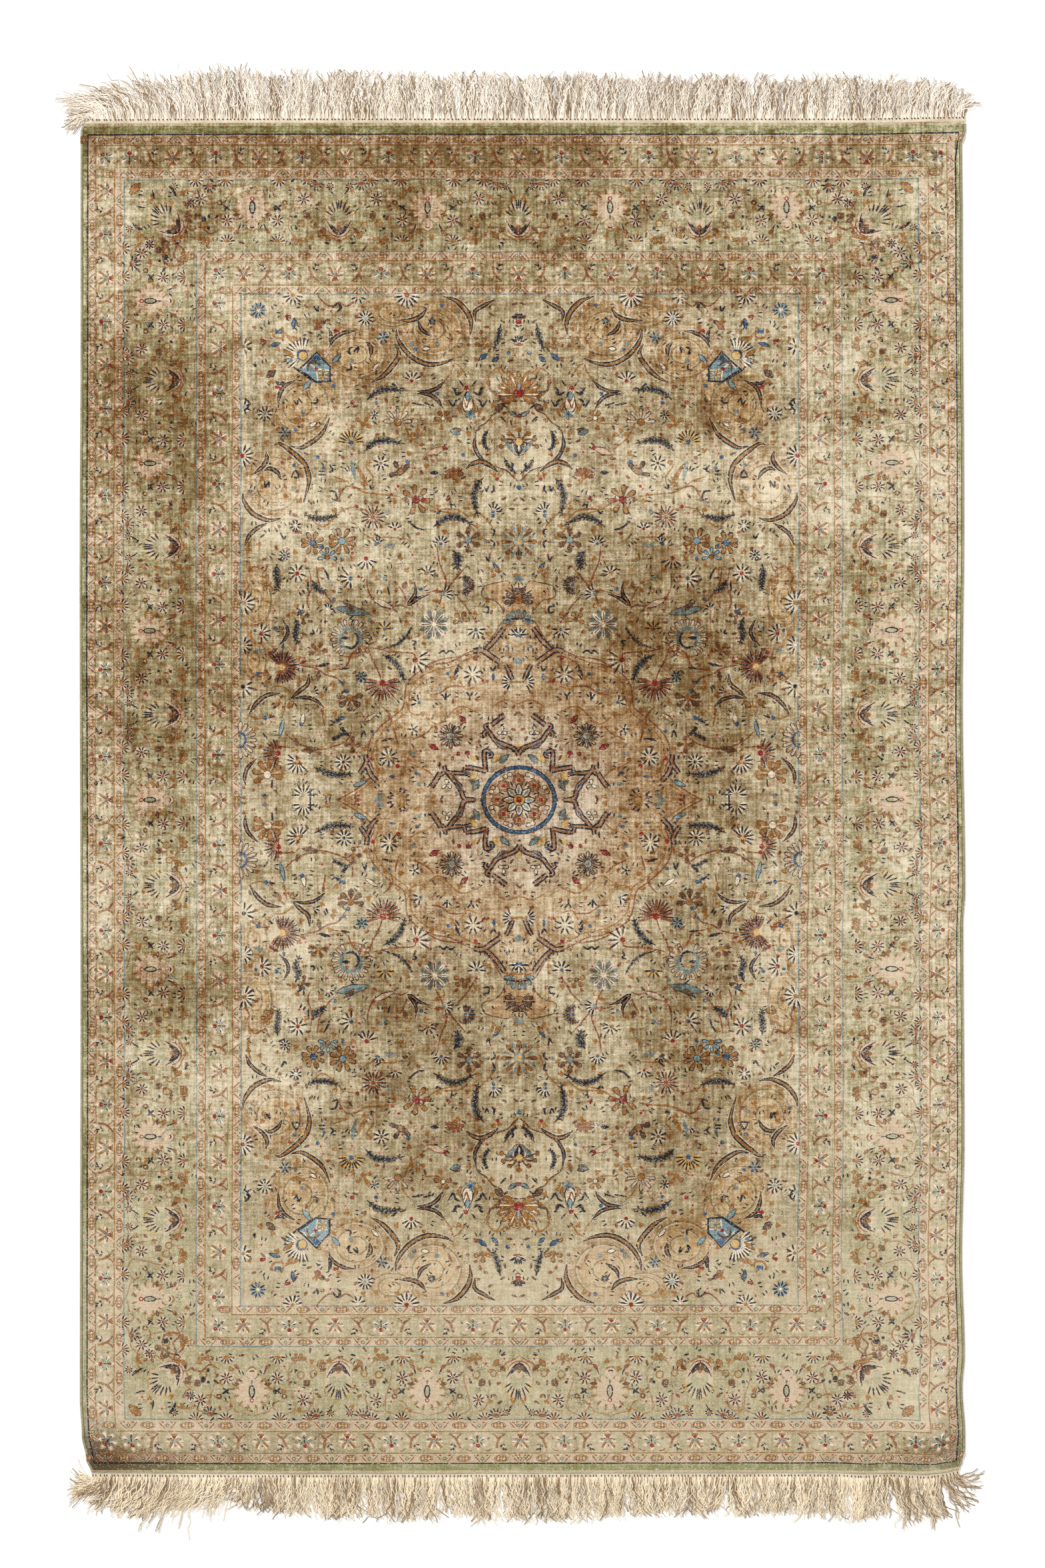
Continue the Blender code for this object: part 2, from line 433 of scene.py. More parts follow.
def gently(share):
    """A share from 0 to 1 that starts and ends slowly."""
    return share * share * (3.0 - 2.0 * share)


def smooth_row(table, place):
    """The row of a table at a place along its first column, eased between its rows."""
    if place <= table[0][0]:
        return table[0][1:]
    for low, high in zip(table, table[1:]):
        if place <= high[0]:
            share = gently((place - low[0]) / (high[0] - low[0]))
            return tuple(a + (b - a) * share for a, b in zip(low[1:], high[1:]))
    return table[-1][1:]


def eased(table, places):
    """The second column of a table at many places, eased between its rows."""
    rows = np.array(table)
    spots = np.clip(np.searchsorted(rows[:, 0], places) - 1, 0, len(rows) - 2)
    share = np.clip((places - rows[spots, 0]) / (rows[spots + 1, 0] - rows[spots, 0]), 0.0, 1.0)
    return rows[spots, 1] + (rows[spots + 1, 1] - rows[spots, 1]) * gently(share)


def on_outline(across, along):
    """Points on the rug at shares of its width and length, as arrays of x and y in metres."""
    x = RUG_WIDTH * (across - 0.5)
    y = RUG_LENGTH * (along - 0.5)
    left = -RUG_WIDTH / 2 - eased(LEFT_EDGE, y)
    right = RUG_WIDTH / 2 + eased(RIGHT_EDGE, y)
    bottom = -RUG_LENGTH / 2 - eased(BOTTOM_EDGE, x)
    top = RUG_LENGTH / 2 + eased(TOP_EDGE, x)
    return left + (right - left) * across, bottom + (top - bottom) * along


def woven(x, y, margin=0.0):
    """Drawn millimetres as metres on the woven rug, held a share of its width in from each side."""
    across = np.interp(x, *np.array(ACROSS_FIT).T) / 1000 / RUG_WIDTH + 0.5
    along = np.interp(y, *np.array(ALONG_FIT).T) / 1000 / RUG_LENGTH + 0.5
    return on_outline(np.clip(across, margin, 1 - margin), along)


def worn_and_lit(x, y):
    """How much painted sheen and wear lighten the pile, and painted shade darkens it, at places in metres.
    """
    tone = np.zeros(len(x))
    for middle_x, middle_y, reach_x, reach_y, amount in SHEEN_AND_WEAR_PATCHES:
        far = ((x * 1000 - middle_x) / reach_x) ** 2 + ((y * 1000 - middle_y) / reach_y) ** 2
        tone += amount * np.exp(-0.7 * far)
    return tone


# Shaders


class Tone:
    """A shader value that joins in Python sums."""

    def __init__(self, paint, socket):
        self.paint = paint
        self.socket = socket

    def sum(self, operation, *values):
        return self.paint.node("ShaderNodeMath", {"operation": operation}, dict(enumerate(values)))

    def __add__(self, other):
        return self.sum("ADD", self, other)

    def __sub__(self, other):
        return self.sum("SUBTRACT", self, other)

    def __rsub__(self, other):
        return self.sum("SUBTRACT", other, self)

    def __mul__(self, other):
        return self.sum("MULTIPLY", self, other)

    __radd__ = __add__

    def clamped(self):
        return self.sum("MINIMUM", self.sum("MAXIMUM", self, 0.0), 1.0)


class Paint:
    """A material under construction."""

    def __init__(self, name):
        self.material = bpy.data.materials.new(name)
        self.material.use_nodes = True
        self.tree = self.material.node_tree
        self.shader = self.tree.nodes["Principled BSDF"]
        self.place = self.node("ShaderNodeTexCoord", {}, {}, "Object")

    def node(self, kind, settings, inputs, output=0):
        """Add a node, settings first, then values or links of its sockets, and give one output."""
        made = self.tree.nodes.new(kind)
        for name, value in settings.items():
            setattr(made, name, value)
        for name, value in inputs.items():
            self.feed(made.inputs[name], value)
        return Tone(self, made.outputs[output])

    def feed(self, socket, value):
        if isinstance(value, Tone):
            self.tree.links.new(value.socket, socket)
        else:
            socket.default_value = value

    def vector(self, operation, *values, output=0):
        settings = {"operation": operation}
        return self.node("ShaderNodeVectorMath", settings, dict(enumerate(values)), output)

    def scaled(self, vector, amount):
        inputs = {"Vector": vector, "Scale": amount}
        return self.node("ShaderNodeVectorMath", {"operation": "SCALE"}, inputs)

    def stretched(self, x, y, z):
        """The piece's own coordinates, stretched along each axis."""
        return self.vector("MULTIPLY", self.place, (x, y, z))

    def noise(self, vector, scale, detail, rough):
        inputs = {"Vector": vector, "Scale": scale, "Detail": detail, "Roughness": rough}
        return self.node("ShaderNodeTexNoise", {}, inputs, "Fac")

    def mixed(self, factor, first, second):
        """Two colours mixed; a mix node keeps its colours in sockets 6 and 7."""
        inputs = {0: factor, 6: first, 7: second}
        return self.node("ShaderNodeMix", {"data_type": "RGBA"}, inputs, 2)

    def own(self, name, output="Fac"):
        """An attribute that the piece carries."""
        return self.node("ShaderNodeAttribute", {"attribute_name": name}, {}, output)

    def bump(self, height, distance, strength):
        inputs = {"Height": height, "Distance": distance, "Strength": strength}
        return self.node("ShaderNodeBump", {}, inputs, "Normal")

    def finish(self, color, roughness, normal, sheen, sheen_tint):
        """Join the shader's inputs up and give the material."""
        for name, value in (
            ("Base Color", color),
            ("Roughness", roughness),
            ("Normal", normal),
            ("Sheen Weight", sheen),
            ("Sheen Roughness", 0.4),
            ("Sheen Tint", (*sheen_tint, 1.0)),
            ("Specular IOR Level", 0.15),
        ):
            self.feed(self.shader.inputs[name], value)
        return self.material


KNOT_ACROSS = 0.0013
KNOT_ALONG = 0.0012
# Cream of painted sheen and worn silk, also the colour of single pale knots
SHEEN_AND_WEAR_CREAM = (*srgb(238, 224, 196), 1.0)
# Brown tint of painted shade in the darker patches of the pile
PAINTED_SHADE_TINT = (0.43, 0.27, 0.12, 1.0)
WHITE = (1.0, 1.0, 1.0, 1.0)
DARK_KNOT = (*srgb(104, 72, 40), 1.0)
# Knots whose chance is past these limits are dark or pale
DARK_KNOT_LIMIT = 0.90
PALE_KNOT_LIMIT = 0.09
ODD_KNOT_SHARE = 0.46
PILE_SHEEN = 0.06
PILE_SHEEN_TINT = (1.0, 0.93, 0.80)
THREAD_SHEEN = 0.3
THREAD_SHEEN_TINT = (1.0, 0.95, 0.86)
RELIEF = 0.0004


def knotted_silk(name, color, fade_and_sheen):
    """Silk pile of one yarn, or of the colours that the piece carries where color is None."""
    paint = Paint(name)
    knot = paint.stretched(1 / KNOT_ACROSS, 1 / KNOT_ALONG, 0.0)
    cell = paint.vector("FLOOR", knot)
    noise = {"noise_dimensions": "3D"}
    chance = paint.node("ShaderNodeTexWhiteNoise", noise, {"Vector": cell}, "Value")
    yarn = paint.own("yarn", "Color") if color is None else color

    # Broad clouds of painted sheen, painted shade and wear, streaks along the wefts and warps, and single
    # knots
    cloud = paint.noise(paint.place, 15.0, 6.0, 0.70)
    wefts = paint.noise(paint.stretched(20.0, 260.0, 0.0), 1.0, 3.0, 0.6)
    warps = paint.noise(paint.stretched(260.0, 14.0, 0.0), 1.0, 3.0, 0.6)
    fleck = paint.noise(paint.place, 120.0, 4.0, 0.78)
    speckle = (fleck - 0.5) * 3.0 + (wefts - 0.5) * 2.0 + (warps - 0.5) * 2.4 + (chance - 0.5) * 0.8
    unrest = paint.own("unrest")
    mix = paint.own("wear") * 1.7 + ((cloud - 0.5) * 1.9 + speckle * 0.56) * unrest
    # Painted highlight: lit and worn places fade towards cream; painted shade: dark places take a brown tint
    light = (mix * 1.25).clamped() * fade_and_sheen
    shade = (mix * -1.45).clamped()
    body = paint.scaled(yarn, 1.0 + mix * 0.18)
    dark = chance.sum("GREATER_THAN", chance, DARK_KNOT_LIMIT) * ODD_KNOT_SHARE
    pale = chance.sum("LESS_THAN", chance, PALE_KNOT_LIMIT) * ODD_KNOT_SHARE
    body = paint.mixed(dark, body, DARK_KNOT)
    body = paint.mixed(pale, body, SHEEN_AND_WEAR_CREAM)
    body = paint.mixed(light, body, SHEEN_AND_WEAR_CREAM)
    tint = paint.mixed(shade, WHITE, PAINTED_SHADE_TINT)
    body = paint.vector("MULTIPLY", body, tint)

    # Each knot stands a little proud
    within = paint.vector("FRACTION", knot)
    pad = paint.vector("DISTANCE", within, (0.5, 0.5, 0.0), output="Value")
    height = (1.0 - pad) + speckle * 0.8
    rough = 0.60 + (chance - 0.5) * 0.16 - mix * 0.12
    return paint.finish(body, rough, paint.bump(height, RELIEF, 0.7), PILE_SHEEN, PILE_SHEEN_TINT)


def spun_silk(name, color, dark, ribs):
    """Undyed or overcast threads with a tone of their own, mixed towards a dark colour: painted shade
    between the threads of the cords, strips and fringe, and a darker tone on the back.
    """
    paint = Paint(name)
    tone = paint.own("strand")
    fine = paint.noise(paint.place, 900.0, 2.0, 0.6)
    broad = paint.noise(paint.place, 22.0, 3.0, 0.5)
    share = (tone * 0.85 + (fine - 0.5) * 0.9 + (broad - 0.5) * 0.9 + 0.08).clamped()
    body = paint.mixed(share, (*color, 1.0), (*dark, 1.0))
    height = paint.noise(paint.stretched(*ribs), 1.0, 1.0, 0.5)
    rough = 0.72 + (fine - 0.5) * 0.2
    return paint.finish(body, rough, paint.bump(height, RELIEF, 0.6), THREAD_SHEEN, THREAD_SHEEN_TINT)


# Drawing board


# Forms of a petal: its width at a place from -1 at its root to 1 at its tip


def leaf(place):
    return math.sqrt(max(0.0, 1.0 - place * place))


def drop(place):
    return 0.56 + 0.44 * place


def bud(place):
    return 0.62 - 0.38 * place


def smooth_line(points, steps):
    """Points of a smooth line through a few places."""
    places = [Vector((*point, 0.0)) for point in points]
    if len(places) == 2:
        return [places[0].lerp(places[1], step / 2) for step in range(3)]
    ends = [places[0] * 2 - places[1]] + places + [places[-1] * 2 - places[-2]]
    line = []
    for before, start, end, after in zip(ends, ends[1:], ends[2:], ends[3:]):
        for step in range(steps):
            t = step / steps
            square = (2 * before - 5 * start + 4 * end - after) * t * t
            cube = (3 * start - before - 3 * end + after) * t * t * t
            line.append(0.5 * (2 * start + (end - before) * t + square + cube))
    return line + [places[-1]]


# How much bolder than drawn each dark yarn is laid
BOLDER = {"navy": 1.35, "rust": 1.3, "gold": 1.25, "brown": 1.3, "slate": 1.1}


class Loom:
    """Flat patches of yarn in millimetres, one mesh for each yarn; a patch's z is its layer."""

    def __init__(self):
        self.cloth = {}
        self.cut = {}
        self.patches = 0

    def next_rise(self):
        """A small height of its own for each patch, so that no two lie in one plane."""
        self.patches += 1
        return (self.patches * 0.618034) % 1.0 * 0.8

    def mesh(self, yarn):
        if yarn not in self.cloth:
            self.cloth[yarn] = bmesh.new()
        return self.cloth[yarn]

    def patch(self, yarn, layer, x, y, half_width, half_length=None, turn=0.0, sides=8, form=None):
        """A round patch, or one shaped by a form along its length."""
        mesh = self.mesh(yarn)
        made = bmesh.ops.create_circle(mesh, cap_ends=True, segments=sides, radius=1.0)["verts"]
        if form:
            for vert in made:
                vert.co.x *= form(vert.co.y)
        size = (half_width, half_length or half_width, 1.0, 1.0)
        place = Matrix.Translation((x, y, layer + self.next_rise()))
        turned = Matrix.Rotation(math.radians(turn), 4, "Z")
        bmesh.ops.transform(mesh, matrix=place @ turned @ Matrix.Diagonal(size), verts=made)

    def petal(self, yarn, layer, root, tip, width, form=leaf, line=None, edge=1.2, sides=8):
        """A petal from its root to its tip, with a darker line round it if one is named."""
        (x, y), (tip_x, tip_y) = root, tip
        width *= BOLDER.get(yarn, 1.0)
        turn = math.degrees(math.atan2(tip_y - y, tip_x - x)) - 90.0
        long = math.hypot(tip_x - x, tip_y - y) / 2
        middle = (x + tip_x) / 2, (y + tip_y) / 2
        if line:
            edge *= BOLDER.get(line, 1.0)
            self.patch(line, layer - 1, *middle, width / 2 + edge, long + edge, turn, sides, form)
        self.patch(yarn, layer, *middle, width / 2, long, turn, sides, form)

    def petals(self, yarn, layer, x, y, inner, outer, width, count, first=90.0, span=360.0, **look):
        """Petals round a middle, over a whole turn or a fan."""
        gap = span / count if span == 360.0 else span / (count - 1)
        for index in range(count):
            angle = math.radians(first + index * gap)
            away = math.cos(angle), math.sin(angle)
            root = x + away[0] * inner, y + away[1] * inner
            tip = x + away[0] * outer, y + away[1] * outer
            self.petal(yarn, layer, root, tip, width, **look)

    def stroke(self, yarn, layer, points, width, start=0.35, end=0.35, swell=0.0, steps=4):
        """A line of yarn through points; start and end are its width there, as shares."""
        line = smooth_line(points, steps)
        last = len(line) - 1
        if width < 4.0:
            width *= BOLDER.get(yarn, 1.0)
        mesh = self.mesh(yarn)
        made = bmesh.ops.create_grid(mesh, x_segments=last, y_segments=1, size=1.0)["verts"]
        height = layer + self.next_rise()
        for vert in made:
            station = round((vert.co.x + 1.0) / 2 * last)
            side = 1.0 if vert.co.y > 0.0 else -1.0
            ahead = line[min(station + 1, last)] - line[max(station - 1, 0)]
            share = station / last
            full = start + (1.0 - start) * min(1.0, share * 4.0)
            full = min(full, end + (1.0 - end) * min(1.0, (1.0 - share) * 4.0))
            full *= 1.0 + swell * (math.sin(math.pi * share) - 1.0)
            out = Vector((-ahead.y, ahead.x, 0.0)).normalized() * side * width / 2 * full
            vert.co = line[station] + out + Vector((0.0, 0.0, height))

    def shape(self, yarn, layer, corners):
        """A patch with corners of its own, cut from a round one."""
        mesh = self.mesh(yarn)
        made = bmesh.ops.create_circle(mesh, cap_ends=True, segments=len(corners), radius=1.0)["verts"]
        for vert in made:
            turn = math.atan2(vert.co.y, vert.co.x) % math.tau
            spot = corners[round(turn / math.tau * len(corners)) % len(corners)]
            vert.co = (*spot, layer + self.next_rise())

    def ring(self, yarn, layer, x, y, radius, width, first=0.0, span=360.0, squash=1.0, steps=14):
        """A ring or part of one."""
        points = []
        for step in range(steps + 1):
            angle = math.radians(first + span * step / steps)
            points.append((x + radius * math.cos(angle), y + radius * squash * math.sin(angle)))
        ends = 1.0 if span == 360.0 else 0.4
        self.stroke(yarn, layer, points, width, ends, ends, steps=1)

    def dots(self, yarn, layer, size, *places):
        for place in places:
            self.patch(yarn, layer, *place, size, sides=6)

    def stamp(self, motif, x, y, turn=0.0, flip=False, stretch=1.0):
        """Copy another board's patches onto this one, flipped or stretched across."""
        across = -stretch if flip else stretch
        matrix = Matrix.Translation((x, y, 0.0)) @ Matrix.Rotation(math.radians(turn), 4, "Z")
        self.lay(motif, matrix @ Matrix.Diagonal((across, 1.0, 1.0, 1.0)))

    def lay(self, motif, matrix):
        """Copy another board's patches onto this one through a matrix."""
        for yarn, mesh in motif.cloth.items():
            if yarn not in motif.cut:
                motif.cut[yarn] = bpy.data.meshes.new("cut")
                mesh.to_mesh(motif.cut[yarn])
            copy = motif.cut[yarn].copy()
            copy.transform(matrix)
            self.mesh(yarn).from_mesh(copy)
            bpy.data.meshes.remove(copy)


# Small repeats

# Tips of the shell's broad and fine rays
BROAD_RAYS = ((-23, -1), (-20, 8), (-15, 15), (-8, 20), (0, 23), (8, 20), (15, 15), (20, 8), (23, -1))
FINE_RAYS = ((-21, 3), (-17.5, 11), (-11.5, 17), (-4, 21), (4, 21), (11.5, 17), (17.5, 11), (21, 3))
# The vine over a candle
CANDLE_VINE = ((0, 44), (8, 40), (24, 36), (30, 30), (44, 40), (60, 36), (66, 26), (60, 14))
# Middles of the two neighbours in a narrow guard
OVAL_X = -14.5
STAR_X = 14.5


def mirrored(side, *points):
    """Points as they are where side is 1, or on the other side of the upright line where it is -1."""
    return tuple((side * x, y) for x, y in points)


def guard_bud():
    """The guard's flower with a red bud, pale petals and an ogee halo."""
    board = Loom()
    board.petals("pink", 1, 0, 0, 4, 15.5, 11, 6, 90, 360, form=drop)
    board.petals("cream", 3, 0, 0, 3, 14, 4.4, 6, 90, 360, form=drop, sides=6)
    board.petal("pink", 2, (0, 6), (0, 18), 8, form=bud)
    board.petal("pink", 2, (0, -6), (0, -15), 9, form=bud)
    for side in (1, -1):
        board.petal("navy", 4, *mirrored(side, (3, 1), (8, 5)), 1.3, sides=6)
        board.petal("sky", 4, *mirrored(side, (2, -1), (9.5, 1.5)), 1.8, sides=6)
        board.petal("navy", 4, *mirrored(side, (5, -2), (10.5, -3.5)), 1.3, sides=6)
        board.petal("sky", 4, *mirrored(side, (2, -3.5), (7.5, -7)), 1.8, sides=6)
        board.stroke("rust", 3, mirrored(side, (10, 13.5), (14, 14.5), (20, 11)), 1.2)
        board.petal("rust", 4, *mirrored(side, (15, -3), (18.5, -6.5)), 2.2)
    board.dots("rust", 6, 3.4, (0, 6.4))
    board.dots("red", 7, 3.0, (0, 6))
    board.petal("navy", 6, (0, -4.5), (0, 2.5), 1.6)
    board.petal("brown", 5, (0, -11), (0, -4), 3.4)
    return board


def guard_fan():
    """The guard's open fan flower."""
    board = Loom()
    board.petals("pink", 1, 0, -1, 3, 15, 9.5, 6, 90, 360, form=drop)
    board.petals("cream", 3, 0, 0, 3, 14, 4.4, 6, 60, 360, form=drop, sides=6)
    for side in (1, -1):
        board.stroke("rust", 3, mirrored(side, (1, -7), (4, 1), (9, 9)), 2.0, 0.6, 1.0)
        board.stroke("gold", 4, mirrored(side, (4, 1), (7, 5), (9.5, 9)), 2.4, 0.3, 1.0)
        board.petal("rust", 4, *mirrored(side, (7, -2.5), (11, -4)), 2.6, sides=6)
        board.petal("sky", 5, *mirrored(side, (2, -2), (6.5, 0.5)), 1.6, sides=6)
        board.petal("navy", 5, *mirrored(side, (3, -4.5), (7.5, -4)), 1.2, sides=6)
    board.petal("sky", 5, (0, -5), (0, 2), 1.6, sides=6)
    board.petal("rust", 4, (0, 4.5), (0, 8.5), 2.2, sides=6)
    board.patch("gold", 6, 0, -10.2, 6.0, 2.0)
    board.patch("rust", 6, 0, -8.6, 3.8, 2.8)
    board.dots("red", 7, 2.2, (0, -7.6))
    return board


def guard_sprig():
    """The forked stem between the guard's flowers."""
    board = Loom()
    board.petals("pink", 1, 1, 5, 3, 12, 9, 5, 90, 360, form=drop, sides=6)
    board.stroke("rust", 3, ((5, 10), (3.5, 4), (1, -3), (-2, -8)), 2.3, 1.0, 0.6)
    board.stroke("gold", 4, ((5, 10), (3.5, 4), (1.4, -2)), 1.5, 1.0, 0.4)
    board.stroke("rust", 3, ((1, -1), (-4, -8), (-10, -12)), 1.7)
    board.stroke("rust", 3, ((1, -3), (5, -9), (9, -12)), 1.5)
    board.stroke("gold", 2, ((-10, -12), (0, -13), (12, -12)), 1.0)
    board.petal("navy", 5, (-11.5, 13.5), (-6, 11), 1.9, sides=6)
    board.petal("navy", 5, (-4.5, 8.5), (-5.5, 14.5), 1.9, sides=6)
    board.petal("navy", 5, (-4.5, 4.5), (-0.5, 8.5), 2.3, sides=6)
    board.petal("navy", 5, (-9, 6), (-5, 3.5), 1.8, sides=6)
    return board


def minor_pair():
    """Two neighbours of the narrow guards: a scrolled oval and a star under a tent of two arcs."""
    board = Loom()
    board.patch("rust", 1, OVAL_X, 0, 11.4, 5.6, sides=10)
    board.patch("pink", 2, OVAL_X, 0, 10.2, 4.6, sides=10)
    board.petals("moss", 4, OVAL_X, 0, 0.5, 6.0, 4.4, 4, 45, 360, sides=6)
    board.patch("gold", 5, OVAL_X, 0, 3.0, 3.0, sides=6)
    board.dots("yellow", 6, 1.7, (OVAL_X, 0))
    board.petals("sage", 2, STAR_X, 0.5, 0.5, 5.6, 3.6, 4, 90, 360, sides=6)
    board.dots("slate", 3, 2.9, (STAR_X, 0.5))
    board.dots("yellow", 4, 1.6, (STAR_X, 0.5))
    for side in (1, -1):
        scroll = tuple((OVAL_X + side * x, y) for x, y in ((5, 3.2), (8, 0), (5, -3.2)))
        board.stroke("rust", 3, scroll, 1.6)
        arc = tuple((STAR_X + side * x, y) for x, y in ((3.5, 5.2), (8, 1), (13, -5.4)))
        board.stroke("pink", 1, arc, 4.6)
        board.stroke("rust", 2, arc, 1.3)
        root, tip = (STAR_X + side * 4.6, -4.6), (STAR_X + side * 9, -4.6)
        board.petal("rust", 2, root, tip, 2.2, sides=6)
    return board


def palmette(footed=True):
    """The main border's shell of rays over a tulip cup, pointing up."""
    board = Loom()
    board.patch("halo", 1, 0, -8, 22, 27, sides=14)
    board.petals("pink", 2, 0, -18, 10, 21, 11, 9, 170, 200, form=drop)
    board.ring("rust", 3, 0, -19, 18, 1.4, 190, 160, squash=0.95, steps=10)
    for tip_x, tip_y in BROAD_RAYS:
        board.petal("yellow", 2, (tip_x * 0.5, -4), (tip_x * 1.12, tip_y + 3), 5.0, form=drop, sides=6)
        board.petal("halo", 3, (tip_x * 0.3, -10), (tip_x, tip_y + 1), 4.8, form=drop, sides=6)
    for tip_x, tip_y in FINE_RAYS:
        board.petal("navy", 6, (tip_x * 0.5, -5 + tip_y * 0.42), (tip_x, tip_y), 2.2, sides=6)
    board.petal("navy", 7, (0, 5), (0, 22), 2.0)
    board.patch("sage", 4, 0, -8, 14, 10.5, sides=12)
    board.patch("pink", 5, 0, -16, 6.5, 6.0, sides=10)
    board.patch("brown", 7, 0, -24, 4.6, 5.2, sides=8)
    board.patch("gold", 8, 0, -20.5, 3.0, 3.0, sides=6)
    for side in (1, -1):
        board.petal("navy", 6, *mirrored(side, (0, -34), (13, -17)), 5.0, form=leaf)
        board.petal("brown", 7, *mirrored(side, (1.5, -31), (9.5, -20)), 3.0, form=leaf)
        board.stroke("navy", 6, mirrored(side, (3, -33), (10, -26), (19, -12)), 1.5)
        if footed:
            board.petals("pink", 5, side * 36, 46, 2, 15, 5.0, 6, 195, 150, form=drop, sides=6)
            board.petals("navy", 6, side * 36, 46, 6, 14, 2.0, 6, 195, 150, sides=6)
            board.patch("rust", 7, side * 36, 44, 6.4, 3.0)
        board.petal("brown", 4, *mirrored(side, (22, -22), (32, -31)), 4.4, line="gold", edge=0.8)
        board.stroke("navy", 4, mirrored(side, (9, 28), (13, 33), (17, 40)), 1.6)
        board.stroke("gold", 3, mirrored(side, (0, -44), (9, -38), (22, -32), (26, -22), (36, -22)), 1.8)
        board.ring("gold", 3, side * 40, -18, 5, 1.7, steps=8)
    board.petal("red", 8, (0, -37), (0, -31), 2.6)
    return board


def candle_span():
    """One span of the main border from palmette to palmette, with its candle in the middle."""
    board = Loom()
    # Candle with a lobed halo
    board.petals("gold", 1, 0, 7, 18, 29, 4.4, 12, 105, 360, form=drop, sides=6)
    board.petals("pink", 2, 0, 7, 10, 27, 12, 12, 90, 360, form=drop, sides=6)
    board.patch("pink", 3, 0, 7, 20, 20, sides=12)
    board.patch("navy", 5, 0, 6.5, 5.0, 10.2, sides=10)
    board.patch("sage", 6, 0, 6.5, 2.9, 7.6, sides=10)
    board.patch("red", 5, 0, 19.5, 3.6, 3.8, sides=6)
    board.patch("pink", 6, 0, 19.5, 1.9, 2.2, sides=6)
    board.petal("slate", 4, (0, -4), (0, -11), 3.0)
    board.patch("pink", 3, 0, -20, 9, 8, sides=10)
    board.ring("gold", 4, 0, -23, 6.5, 1.6, 200, 140, steps=6)
    board.ring("navy", 4, 0, -20, 4.2, 1.6, 210, 120, steps=5)
    for side in (1, -1):
        board.stroke("halo", 3, mirrored(side, (16, -17), (20, -27), (28, -34)), 4.6)
        board.stroke("navy", 4, mirrored(side, (17, -18), (21, -27), (28, -33)), 1.7)
        board.stroke("gold", 4, mirrored(side, (24, -14), (22, -6), (27, 2), (33, 3)), 2.6)
        # Arched vines over and under the candle
        board.stroke("clay", 2, mirrored(side, *CANDLE_VINE), 1.7)
        board.stroke("clay", 2, mirrored(side, (63, 32), (62, 14), (56, -5), (54, -24)), 1.8)
        board.stroke("clay", 2, mirrored(side, (54, -24), (64, -38), (78, -40), (88, -30)), 1.8)
        board.stroke("gold", 2, mirrored(side, (30, 30), (36, 22), (42, 20)), 1.8)
        board.stroke("clay", 2, mirrored(side, (66, 36), (82, 34), (92, 20), (92, 4)), 1.7)
        board.ring("gold", 2, side * 73, -18, 5.4, 1.7, steps=8)
        # Small flowers, buds and ticks along the vines
        for x, y, radius, eye in ((38, -13, 9.5, "rust"), (77, 19, 9.5, "rust"), (117, 38, 6, "gold")):
            board.petals("pink", 3, side * x, y, 0, radius + 1.5, radius * 0.8, 8, sides=6, form=drop)
            board.petals("navy", 4, side * x, y, 2.5, radius, 2.2, 8, 70, sides=6)
            board.dots(eye, 5, 2.6, (side * x, y))
        for x, y, first in ((38, -46, 0), (85, 49, 180), (40, 49, 180)):
            board.petals("pink", 3, side * x, y, 2, 13, 5.0, 7, first, 180, form=drop, sides=6)
            board.petals("navy", 4, side * x, y, 5, 12.5, 2.2, 6, first + 15, 150, sides=6)
            board.petals("gold", 5, side * x, y, 0, 6, 4.6, 3, first + 40, 100, form=drop, sides=6)
        board.stroke("navy", 4, mirrored(side, (33, 2), (38, 6), (44, 10)), 2.2)
        board.stroke("navy", 4, mirrored(side, (34, 10), (38, 6), (43, 1)), 2.2)
        board.patch("brown", 4, side * 49, 13.5, 4.6, 4.2)
        board.dots("yellow", 5, 1.7, (side * 49, 13.5))
        board.petal("brown", 4, *mirrored(side, (78, -2), (86, -10)), 8.0, line="gold", edge=0.8)
        board.petals("gold", 3, side * 70, -38, 2, 12, 6, 4, 200, 130, form=drop, line="brown", edge=0.6)
        board.dots("navy", 4, 2.5, (side * 65, -7), (side * 66, -25))
        board.petal("rust", 4, *mirrored(side, (27, -34), (19, -26)), 4.8)
        board.petal("brown", 4, *mirrored(side, (18, -4), (30, -5)), 4.6)
        board.petal("navy", 4, *mirrored(side, (58, 44), (64, 50)), 2.4)
        board.petal("gold", 4, *mirrored(side, (98, -30), (106, -40)), 6.0, line="brown", edge=0.7)
        board.petal("rust", 4, *mirrored(side, (98, 10), (104, 16)), 4.0)
        board.petal("navy", 4, *mirrored(side, (108, -46), (116, -48)), 2.6)
    return board


